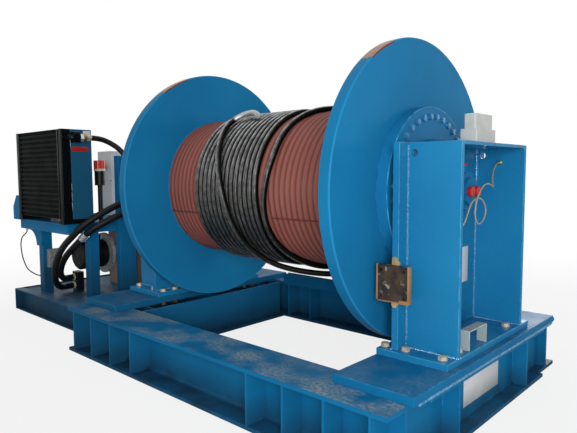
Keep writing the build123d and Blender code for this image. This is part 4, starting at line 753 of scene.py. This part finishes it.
SENSOR_ROUTE = [
    (1.390, 0.440, 1.530), (1.390, 0.390, 1.530), (1.386, 0.335, 1.480), (1.400, 0.290, 1.410),
    (1.436, 0.228, 1.366), (1.458, 0.140, 1.390), (1.470, 0.030, 1.402), (1.480, -0.075, 1.364),
    (1.488, -0.150, 1.290), (1.490, -0.168, 1.212), (1.486, -0.115, 1.158), (1.480, -0.035, 1.168),
    (1.476, 0.028, 1.222), (1.472, 0.005, 1.288), (1.468, -0.070, 1.322), (1.462, -0.150, 1.296),
    (1.458, -0.190, 1.228), (1.456, -0.232, 1.165), (1.452, -0.300, 1.140), (1.448, -0.370, 1.176),
    (1.448, -0.440, 1.176),
]


def line(name, route, resolution=12):
    """Smooth curve with a route's points as its control points."""
    curve = bpy.data.curves.new(name, "CURVE")
    curve.dimensions = "3D"
    curve.resolution_u = resolution
    spline = curve.splines.new("NURBS")
    spline.points.add(len(route) - 1)
    for point, spot in zip(spline.points, route):
        point.co = (*spot, 1.0)
    spline.order_u = 3
    spline.use_endpoint_u = True
    item = bpy.data.objects.new(name, curve)
    scene.collection.objects.link(item)
    return item


def points_along(route, resolution=12):
    """Points on a route's smooth curve."""
    item = line("path", route, resolution)
    spots = [vertex.co.copy() for vertex in plain_mesh(item).vertices]
    bpy.data.objects.remove(item)
    return spots


# Crimped collar on the return hose, where it leaves the shelf's edge
COLLAR_SPOT = Vector((-2.160, -0.712, 0.858))
COLLAR = (
    (-0.042, 0.031), (-0.040, 0.037), (-0.026, 0.037), (-0.024, 0.034), (-0.014, 0.034), (-0.012, 0.037),
    (0.012, 0.037), (0.014, 0.034), (0.024, 0.034), (0.026, 0.037), (0.040, 0.037), (0.042, 0.031),
)
return_path = points_along(RETURN_ROUTE)
near = min(range(1, len(return_path) - 1), key=lambda k: (return_path[k] - COLLAR_SPOT).length)
collar_way = return_path[near + 1] - return_path[near - 1]
collar = turned("return_hose_collar", return_path[near], collar_way, COLLAR)
keep(collar, bright_zinc, "skid", "bolt_steel")

CORDS = (                # node, route, length, diameter, stiffness and what sits on it
    ("pressure_hose", PRESSURE_ROUTE, 1.736, 0.064, "stiff", ()),
    ("return_hose", RETURN_ROUTE, 1.546, 0.064, "stiff", (collar,)),
    ("cooler_hose", COOLER_ROUTE, 0.677, 0.052, "stiff", ()),
    ("motor_cable", CABLE_ROUTE, 0.818, 0.012, "medium", ()),
    ("sensor_cable", SENSOR_ROUTE, 1.597, 0.009, "medium", ()),
)
for name, route, length, diameter, stiffness, along in CORDS:
    hose = line(name + "_line", route)
    hose.data.bevel_depth = diameter / 2
    hose.data.bevel_resolution = 6
    hose.data.use_fill_caps = True
    keep(hose, FINISH_OF[SLOT_OF[name]], "skid", SLOT_OF[name], name)

# Wire rope: laid turns, then slack ones that wander over the barrel and the others to a bent, served end
ROPE_LENGTH = 56.901
ROPE_STEPS = 24          # control points in a laid turn
SLACK_STEPS = 32         # and in a slack one
LAID_TURNS = 13.5
LAID_R = 0.5785          # radii of the rope's middle: laid in the grooves,
LOW_R = 0.5835           # loose on the barrel,
RISE_R = 0.603           # on its way up,
OVER_R = 0.6425          # hanging off the other turns
HIGH_R = 0.6275          # and lying on them
SLACK = (                # turns past the laid ones, place along the drum, radius
    (0.0, 0.0915, LAID_R), (0.125, 0.120, LOW_R), (0.25, 0.185, LOW_R), (0.375, 0.275, LOW_R),
    (0.5, 0.330, LOW_R), (0.5625, 0.255, LOW_R), (0.625, 0.166, LOW_R), (0.6875, 0.144, LOW_R),
    (0.75, 0.174, LOW_R), (0.8125, 0.218, LOW_R), (0.875, 0.222, LOW_R), (0.9375, 0.262, LOW_R),
    (1.0, 0.340, LOW_R), (1.125, 0.440, LOW_R), (1.25, 0.500, LOW_R), (1.375, 0.480, RISE_R),
    (1.5, 0.340, OVER_R), (1.5625, 0.040, OVER_R), (1.625, -0.118, HIGH_R), (1.6875, -0.170, HIGH_R),
    (1.75, -0.220, HIGH_R), (1.8125, -0.308, HIGH_R), (1.875, -0.392, HIGH_R), (1.89, -0.396, HIGH_R),
)
HOOK_X = 0.255           # how far the end bends back along the drum
HOOK_ON = 0.093          # and how far on round it
HOOK_STEPS = 6
SERVED = 0.34            # length of the pale, served end


def slack_place(turn):
    """Place along the drum and radius of a slack turn: smooth between its stations."""
    k = 0
    while k < len(SLACK) - 2 and SLACK[k + 1][0] < turn:
        k += 1
    start, end = SLACK[k], SLACK[k + 1]
    before, after = SLACK[max(k - 1, 0)], SLACK[min(k + 2, len(SLACK) - 1)]
    span = end[0] - start[0]
    f = (turn - start[0]) / span
    smooth = f * f * (3 - 2 * f)
    leave = span * (end[1] - before[1]) / (end[0] - before[0])
    arrive = span * (after[1] - start[1]) / (after[0] - start[0])
    x = start[1] + (end[1] - start[1]) * smooth + f * (1 - f) ** 2 * leave - f * f * (1 - f) * arrive
    return x, start[2] + (end[2] - start[2]) * smooth


def rope_spot(turn, steps):
    """Control point of the rope at a turn, from the bottom up the front; the curve runs just inside it."""
    x, radius = ROPE_START + ROPE_PITCH * turn, LAID_R
    if turn > LAID_TURNS:
        x, radius = slack_place(turn - LAID_TURNS)
    radius /= math.cos(math.pi / steps)
    return Vector((x, -radius * math.sin(2 * math.pi * turn), AXIS_Z - radius * math.cos(2 * math.pi * turn)))


slack_turns = SLACK[-1][0]
laid_count = round(LAID_TURNS * ROPE_STEPS)
slack_count = int(slack_turns * SLACK_STEPS)
rope_route = [rope_spot(k / ROPE_STEPS, ROPE_STEPS) for k in range(laid_count + 1)]
rope_route += [rope_spot(LAID_TURNS + k / SLACK_STEPS, SLACK_STEPS) for k in range(1, slack_count + 1)]
hook_from = rope_spot(LAID_TURNS + slack_turns, SLACK_STEPS)
hook_turn = 2 * math.pi * (LAID_TURNS + slack_turns)
onward = Vector((0, -math.cos(hook_turn), math.sin(hook_turn)))
across = Vector((1, 0, 0))
hook_angle = 2 * math.atan2(HOOK_X, HOOK_ON)
hook_r = HOOK_X / (1 - math.cos(hook_angle))
hook_out = hook_r / math.cos(hook_angle / (2 * HOOK_STEPS))
for k in range(HOOK_STEPS):
    a = hook_angle * (k + 0.5) / HOOK_STEPS
    bent = hook_out * math.sin(a) * onward + (hook_r - hook_out * math.cos(a)) * across
    rope_route.append(hook_from + bent)
rope_route.append(hook_from + HOOK_ON * onward + HOOK_X * across)
rope_path = points_along(rope_route, resolution=8)
rope_edges = [(k, k + 1) for k in range(len(rope_path) - 1)]
rope = grown(
    "laid_rope", rope_strands, greased_wire, "drum", "wire_rope", rope_path, rope_edges, ("wire_rope",),
    served_from=ROPE_LENGTH - SERVED,
)
rope.data.shade_smooth()

# Barrel: rope grooves that follow the rope's lead, with low lands between them
GROOVE_LAND = 0.012      # height of the lands
BARREL_WALL = 0.050
BARREL_STEPS = 96
GROOVE_STEPS = 8         # points across a groove
CREST_GAIN = 2.2         # how fast the dark line of grease and painted shade thickens towards the top of a land


def barrel():
    """Tube with a helical groove for each turn of rope."""
    shape = bmesh.new()
    crest = shape.verts.layers.float.new("crest")
    count = round(2 * BARREL_END / ROPE_PITCH * GROOVE_STEPS)
    rings = []
    for k in range(BARREL_STEPS):
        turn = k / BARREL_STEPS
        way = (-math.sin(2 * math.pi * turn), -math.cos(2 * math.pi * turn))
        profile = [(-BARREL_END, BARREL_R - BARREL_WALL)]
        for j in range(count + 1):
            x = -BARREL_END + 2 * BARREL_END * j / count
            across = (x - ROPE_START) / ROPE_PITCH - turn
            off = 2 * abs(across - round(across))
            profile.append((x, BARREL_R + GROOVE_LAND * off * off))
        profile.append((BARREL_END, BARREL_R - BARREL_WALL))
        rings.append([shape.verts.new((x, r * way[0], AXIS_Z + r * way[1])) for x, r in profile])
        for vertex, (x, r) in zip(rings[-1], profile):
            off = math.sqrt(max(0.0, (r - BARREL_R) / GROOVE_LAND))
            vertex[crest] = max(0.0, CREST_GAIN * off - (CREST_GAIN - 1))
    for k, ring in enumerate(rings):
        after = rings[(k + 1) % BARREL_STEPS]
        for j in range(len(ring)):
            m = (j + 1) % len(ring)
            shape.faces.new((ring[j], ring[m], after[m], after[j]))
    return from_shape("grooved_barrel", shape, angle=28)


keep(barrel(), barrel_primer, "drum", "barrel_primer", "drum_barrel")

# Pieces that stand for CAD nodes with eased edges
EASED = (                # finish, or None for the slot's own; each node and how far its edges are eased
    (flange_enamel, {"idle_flange": 0.009, "drive_flange": 0.009}),
    (drum_enamel, {"gearbox_hub": 0.005}),
    (None, {
        "front_beam": 0.004, "rear_beam": 0.004, "drive_cross_girder": 0.003, "idle_cross_girder": 0.003,
        "deck_plates": 0.004, "gearbox_spindle": 0.003, "bearing_housing": 0.003, "bearing_cap": 0.004,
        "parking_brake": 0.004, "hydraulic_motor": 0.004, "pipe_duct": 0.002, "power_frame": 0.003,
        "stand_frame": 0.003, "shelf_plate": 0.002,
    }),
    (pedestal_enamel, {
        "pedestal_base_plates": 0.004, "drive_bearing_plate": 0.003, "idle_bearing_plate": 0.003,
        "pedestal_side_plates": 0.004, "pedestal_top_plates": 0.002,
    }),
    (pale_enamel, {"hose_guard": 0.002}),
    (cooler_enamel, {"cooler_shroud": 0.002}),
    (fin_black, {"cooler_core": 0.002}),
    (gloss_black, {"cooler_end_tanks": 0.003}),
    (orange_abs, {"filter_cap": 0.003}),
    (None, {
        "stub_shaft": 0.003, "motor_port_caps": 0.003, "caliper_pad": 0.002, "junction_box": 0.010,
        "isolator_knob": 0.002, "fan_motor": 0.004, "fan_guard": 0.001, "electric_motor": 0.002,
        "pump": 0.003, "cooler_fan": 0.002, "motor_cowl": 0.004, "control_panel": 0.002, "panel_door": 0.003,
        "bell_housing": 0.004, "oil_reservoir": 0.004, "rope_clamp": 0.003, "return_filter": 0.004,
        "hose_fittings": 0.002,
    }),
)
eased = {node: softened(node, width, finish) for finish, widths in EASED for node, width in widths.items()}
for node, finish, low, high in (
    ("return_filter", white_nylon, (-2.42, -0.50, 1.488), (-2.27, -0.34, 1.514)),         # ring under its cap
    ("hose_fittings", skid_enamel, (-2.12, -0.22, 1.02), (-1.92, -0.19, 1.35)),           # bulkhead
    ("hose_fittings", cast_aluminium, (-3.01, -0.71, 0.46), (-2.939, -0.55, 0.67)),       # valve on the leg
    ("hose_fittings", raw_brass, (-2.939, -0.65, 0.49), (-2.89, -0.55, 0.64)),            # its ports
    ("hose_fittings", black_enamel, (-2.91, -0.48, 0.20), (-2.78, -0.399, 0.41)),         # manifold
    ("hose_fittings", gloss_black, (-2.20, -0.90, 1.76), (-2.13, -0.649, 1.85)),          # cooler's outlet
):
    repainted(eased[node], finish, low, high)
for node in ("drum_bearings", "ring_gear", "sun_gear", "planet_gear_1", "planet_gear_2", "planet_gear_3"):
    nodes[node].data.materials.clear()
    nodes[node].data.materials.append(machined_steel)

# Bolts on the hub and on the pedestals' base plates, with nuts under the deck
HUB_BOLTS = 36
HUB_BOLT_R = 0.470
HUB_FACE = 1.127
BASE_BOLTS = ((1.124, 0.530), (1.124, 0.410), (1.258, 0.530), (1.489, 0.530), (1.489, 0.350))
NUTS_TO = 1.15           # nuts show under the bolts that are nearer to the drum than this
hub_spots = [(HUB_FACE, y, AXIS_Z + z) for y, z in circle(HUB_BOLTS, HUB_BOLT_R, 0.5)]
base_spots = [(sx * x, sy * y, BASE_TOP) for x, y in BASE_BOLTS for sx in (1, -1) for sy in (1, -1)]
nut_spots = [(x, y, DECK_UNDER) for x, y, z in base_spots if abs(x) < NUTS_TO]
grown(
    "hub_bolt_heads", bolts, glinting_bolt_paint, "drum", "bolt_steel", hub_spots, (), ("hub_bolts",),
    flats=0.036, head=0.0125, washer=0.022, washer_height=0.0025, axis=(1.0, 0.0, 0.0),
)
grown("base_bolt_heads", bolts, dull_zinc, "skid", "bolt_steel", base_spots, (), ("base_bolts",))
grown(
    "base_bolt_nuts", bolts, dark_nut_steel, "skid", "bolt_steel", nut_spots, head=0.024, axis=(0.0, 0.0, -1.0),
)

# Weld beads along the pedestals' corners, the deck's edges, the barrel's seam and the drum's flanges
CORNER_X = 1.226         # outer face of the bearing plates, where the side plates stand on them
SIDE_OUT = 0.470         # outer and inner faces of the side plates
SIDE_INNER = 0.440
PEDESTAL_END = 1.549
PEDESTAL_TOP = 1.640
TOP_PLATE = 0.022
PLATE_X = 1.184          # bearing plates' face to the drum
PLATE_HALF_W = 0.565
PLATE_MID = 0.02         # the weld along it stops short of the middle
DECK_END = 1.588
DECK_WELD = (0.96, 0.001)    # ends of the weld under the deck's edge
RING_X = BARREL_END - 0.003
RING_R = 0.564
RING_STEPS = 96
SEAM = math.radians(-20)     # place of the seam round the barrel, up from the front
SEAM_R = 0.568
SEAM_ENDS = ((0.200, 0.960), (-0.960, -0.600))   # past the rope on both sides


def welded(lines):
    """Points and edges of lines of weld."""
    points, edges = [], []
    for spots in lines:
        edges += [(len(points) + k, len(points) + k + 1) for k in range(len(spots) - 1)]
        points += spots
    return points, edges


skid_lines = []
for side in (1, -1):
    for face in (1, -1):
        for y in (SIDE_OUT, SIDE_INNER):
            foot = (side * CORNER_X, face * y, BASE_TOP)
            skid_lines.append([foot, (side * CORNER_X, face * y, PEDESTAL_TOP - TOP_PLATE)])
            skid_lines.append([foot, (side * PEDESTAL_END, face * y, BASE_TOP)])
        skid_lines.append([(side * PLATE_X, face * y, BASE_TOP) for y in (PLATE_HALF_W, PLATE_MID)])
        skid_lines.append([(side * DECK_END, face * y, DECK_UNDER) for y in DECK_WELD])
seam_y = -SEAM_R * math.cos(SEAM)
seam_z = AXIS_Z + SEAM_R * math.sin(SEAM)
seam_lines = [[(x, seam_y, seam_z) for x in ends] for ends in SEAM_ENDS]
drum_lines = []
for side in (1, -1):
    ring = [(side * RING_X, y, AXIS_Z + z) for z, y in circle(RING_STEPS, RING_R, 0)]
    drum_lines.append(ring + ring[:1])
for name, finish, body, slot, lines, pitch, width, height in (
    ("skid_welds", weld_enamel, "skid", "blue_paint", skid_lines, 0.009, 0.009, 0.008),
    ("barrel_seam", seam_primer, "drum", "barrel_primer", seam_lines, 0.006, 0.006, 0.004),
    ("drum_welds", drum_enamel, "drum", "blue_paint", drum_lines, 0.012, 0.010, 0.007),
):
    grown(name, weld_bead, finish, body, slot, *welded(lines), pitch=pitch, width=width, height=height)

# Cooler: fine fins between its tubes
grown(
    "cooler_fins", slats, fin_black, "skid", "black_paint", count=88, start=(-2.721, -0.827, 1.0395),
    step=(0.0, 0.0, 0.0096), size=(0.900, 0.064, 0.0018),
)

# Turned fittings: each profile is pairs of a distance along the axis and a radius
UNION_NUT = ((0.0, 0.030), (0.003, 0.040), (0.033, 0.040), (0.036, 0.032))
UNION_BODY = (
    (0.0, 0.029), (0.004, 0.034), (0.012, 0.034), (0.014, 0.030), (0.022, 0.030), (0.024, 0.034),
    (0.034, 0.034),
)
DIAL = ((0.0, 0.066), (0.004, 0.066), (0.0055, 0.064), (0.0055, 0.054))
LOCK = ((0.0, 0.016), (0.004, 0.016), (0.006, 0.012), (0.010, 0.012), (0.011, 0.010))
GLAND = ((0.0, 0.014), (0.010, 0.014), (0.011, 0.011), (0.024, 0.011), (0.028, 0.006))
FILLER = (
    (0.0, 0.040), (0.008, 0.040), (0.010, 0.030), (0.030, 0.030), (0.032, 0.044), (0.058, 0.044),
    (0.064, 0.038),
)
COVER_SPOT = Vector((-2.790, 0.334, 0.520))
COVER_R = 0.130
COVER_T = 0.010
COVER = ((0.0, COVER_R), (COVER_T - 0.002, COVER_R), (COVER_T, COVER_R - 0.002))
COWL_RIBS = (
    (0.0, 0.132), (0.006, 0.126), (0.006, 0.116), (0.0, 0.110), (0.0, 0.102), (0.006, 0.096), (0.006, 0.086),
    (0.0, 0.080), (0.0, 0.072), (0.006, 0.066), (0.006, 0.056), (0.0, 0.050), (0.0, 0.042), (0.007, 0.036),
    (0.007, 0.010),
)
UNION_NUT_SPOT = (-2.166, -0.714, 1.806)
UNION_SPOT = (-2.166, -0.680, 1.806)
for name, spot, way, profile, steps, finish, body, slot in (
    ("cooler_union_nut", UNION_NUT_SPOT, (0, 1, 0), UNION_NUT, 6, bright_zinc, "skid", "bolt_steel"),
    ("cooler_union_body", UNION_SPOT, (0, 1, 0), UNION_BODY, 32, raw_brass, "skid", "bolt_steel"),
    ("isolator_dial", (-2.863, -0.074, 1.560), (0, -1, 0), DIAL, 32, white_nylon, "door", "grey_plastic"),
    ("door_lock", (-2.742, -0.074, 1.390), (0, -1, 0), LOCK, 32, bright_zinc, "door", "bolt_steel"),
    ("cable_gland_1", SENSOR_ROUTE[0], (0, -1, 0), GLAND, 12, raw_brass, "skid", "bolt_steel"),
    ("cable_gland_2", SENSOR_ROUTE[-1], (0, 1, 0), GLAND, 12, raw_brass, "skid", "bolt_steel"),
    ("cable_gland_3", CABLE_ROUTE[0], (0, 0, -1), GLAND, 12, raw_brass, "skid", "bolt_steel"),
    ("cable_gland_4", CABLE_ROUTE[-1], (-1, 0, 0), GLAND, 12, raw_brass, "skid", "bolt_steel"),
    ("reservoir_filler", (-2.520, 0.180, 0.806), (0, 0, 1), FILLER, 32, black_enamel, "skid", "black_paint"),
    ("tank_cover", COVER_SPOT, (0, 1, 0), COVER, 48, tank_primer, "skid", "tank_steel"),
    ("cowl_ribs", (-2.620, -0.543, 0.615), (0, -1, 0), COWL_RIBS, 32, black_enamel, "skid", "black_paint"),
):
    keep(turned(name, spot, way, profile, steps), finish, body, slot)

# Screws of the reservoir's cover
COVER_SCREWS = 8
SCREW_IN = 0.018         # from the cover's edge
screw_circle = circle(COVER_SCREWS, COVER_R - SCREW_IN, 0.5)
screw_spots = [COVER_SPOT + Vector((x, COVER_T, z)) for x, z in screw_circle]
grown(
    "tank_cover_screws", bolts, dull_zinc, "skid", "bolt_steel", screw_spots, flats=0.017, head=0.008,
    washer=0.011, washer_height=0.002, axis=(0.0, 1.0, 0.0),
)

# Flat pieces: strip and outlet block of the cooler, level gauge of the reservoir, and bare plates on the
# drive girder's web, in the drive pedestal's bay and on the cooler's side
HEADER_STRIP = ((-2.290, -0.877, 1.036), (-2.268, -0.862, 1.879))    # each by its opposite corners
OUTLET_BLOCK = ((-2.204, -0.785, 1.758), (-2.132, -0.712, 1.856))
LEVEL_GAUGE = ((-2.545, 0.334, 0.430), (-2.510, 0.346, 0.640))
LEVEL_GLASS = ((-2.536, 0.340, 0.460), (-2.519, 0.348, 0.610))
GIRDER_PLATE = ((1.4885, -0.262, 0.090), (1.4910, 0.240, 0.340))
BAY_LABEL = ((1.2255, 0.245, 0.725), (1.2275, 0.330, 0.966))
SHROUD_LABEL = ((-2.2075, -0.655, 1.838), (-2.2055, -0.582, 1.874))
COOLER_BADGE = ((-2.2075, -0.772, 1.676), (-2.2045, -0.607, 1.722))
PLATE_EDGE = 0.0006      # how far a thin plate's edges are eased
for name, finish, slot, width, low, high in (
    ("cooler_header_strip", gloss_black, "black_paint", 0.002, *HEADER_STRIP),
    ("cooler_outlet_block", gloss_black, "black_paint", 0.006, *OUTLET_BLOCK),
    ("level_gauge", bright_zinc, "bolt_steel", 0.003, *LEVEL_GAUGE),
    ("level_glass", white_nylon, "grey_plastic", 0.002, *LEVEL_GLASS),
    ("girder_plate", grey_enamel, "grey_paint", PLATE_EDGE, *GIRDER_PLATE),
    ("bay_label", grey_enamel, "grey_paint", PLATE_EDGE, *BAY_LABEL),
    ("shroud_label", grey_enamel, "grey_paint", PLATE_EDGE, *SHROUD_LABEL),
    ("cooler_badge", red_abs, "red_plastic", PLATE_EDGE, *COOLER_BADGE),
):
    keep(strips(name, [(low, high)], width), finish, "skid", slot)

# Masking tape left round the caliper pad, and torn paper above and below it
TAPE = (                 # opposite corners of each strip
    ((1.0985, -0.5965, 0.733), (1.1085, -0.5945, 0.947)),
    ((1.3020, -0.5965, 0.733), (1.3115, -0.5945, 0.947)),
    ((1.0985, -0.5965, 0.733), (1.3115, -0.5945, 0.740)),
    ((1.0985, -0.5960, 0.733), (1.1000, -0.5650, 0.947)),
    ((1.3100, -0.5960, 0.733), (1.3115, -0.5650, 0.947)),
    ((1.2500, -0.5970, 0.731), (1.3120, -0.5940, 0.752)),
)
TAPE_EDGE = 0.0007       # how far its edges are eased
keep(strips("pad_tape", TAPE, TAPE_EDGE), masking_tape, "skid", "rusty_steel")
TABS = (                 # corners in X and Z
    ((1.186, 0.944), (1.236, 0.946), (1.241, 0.962), (1.224, 0.975), (1.226, 0.988), (1.206, 0.994),
     (1.187, 0.985)),
    ((1.187, 0.737), (1.232, 0.737), (1.229, 0.716), (1.216, 0.706), (1.214, 0.698), (1.198, 0.701),
     (1.185, 0.712)),
)
TAB_Y = -0.5655          # just in front of the bearing plate's edge
TAB_LIFT = 0.004         # a step of the curl at each corner
CURL_STEPS = 3
torn = bmesh.new()
for tab in TABS:
    flat = torn.faces.new([torn.verts.new((x, TAB_Y, z)) for x, z in tab])
    pulled = bmesh.ops.extrude_face_region(torn, geom=[flat])
    moved = [vertex for vertex in pulled["geom"] if isinstance(vertex, bmesh.types.BMVert)]
    for k, vertex in enumerate(moved):
        vertex.co.y -= TAB_LIFT * (1 + k % CURL_STEPS)
keep(from_shape("paper_tabs", torn), paper_tape, "skid", "rusty_steel")
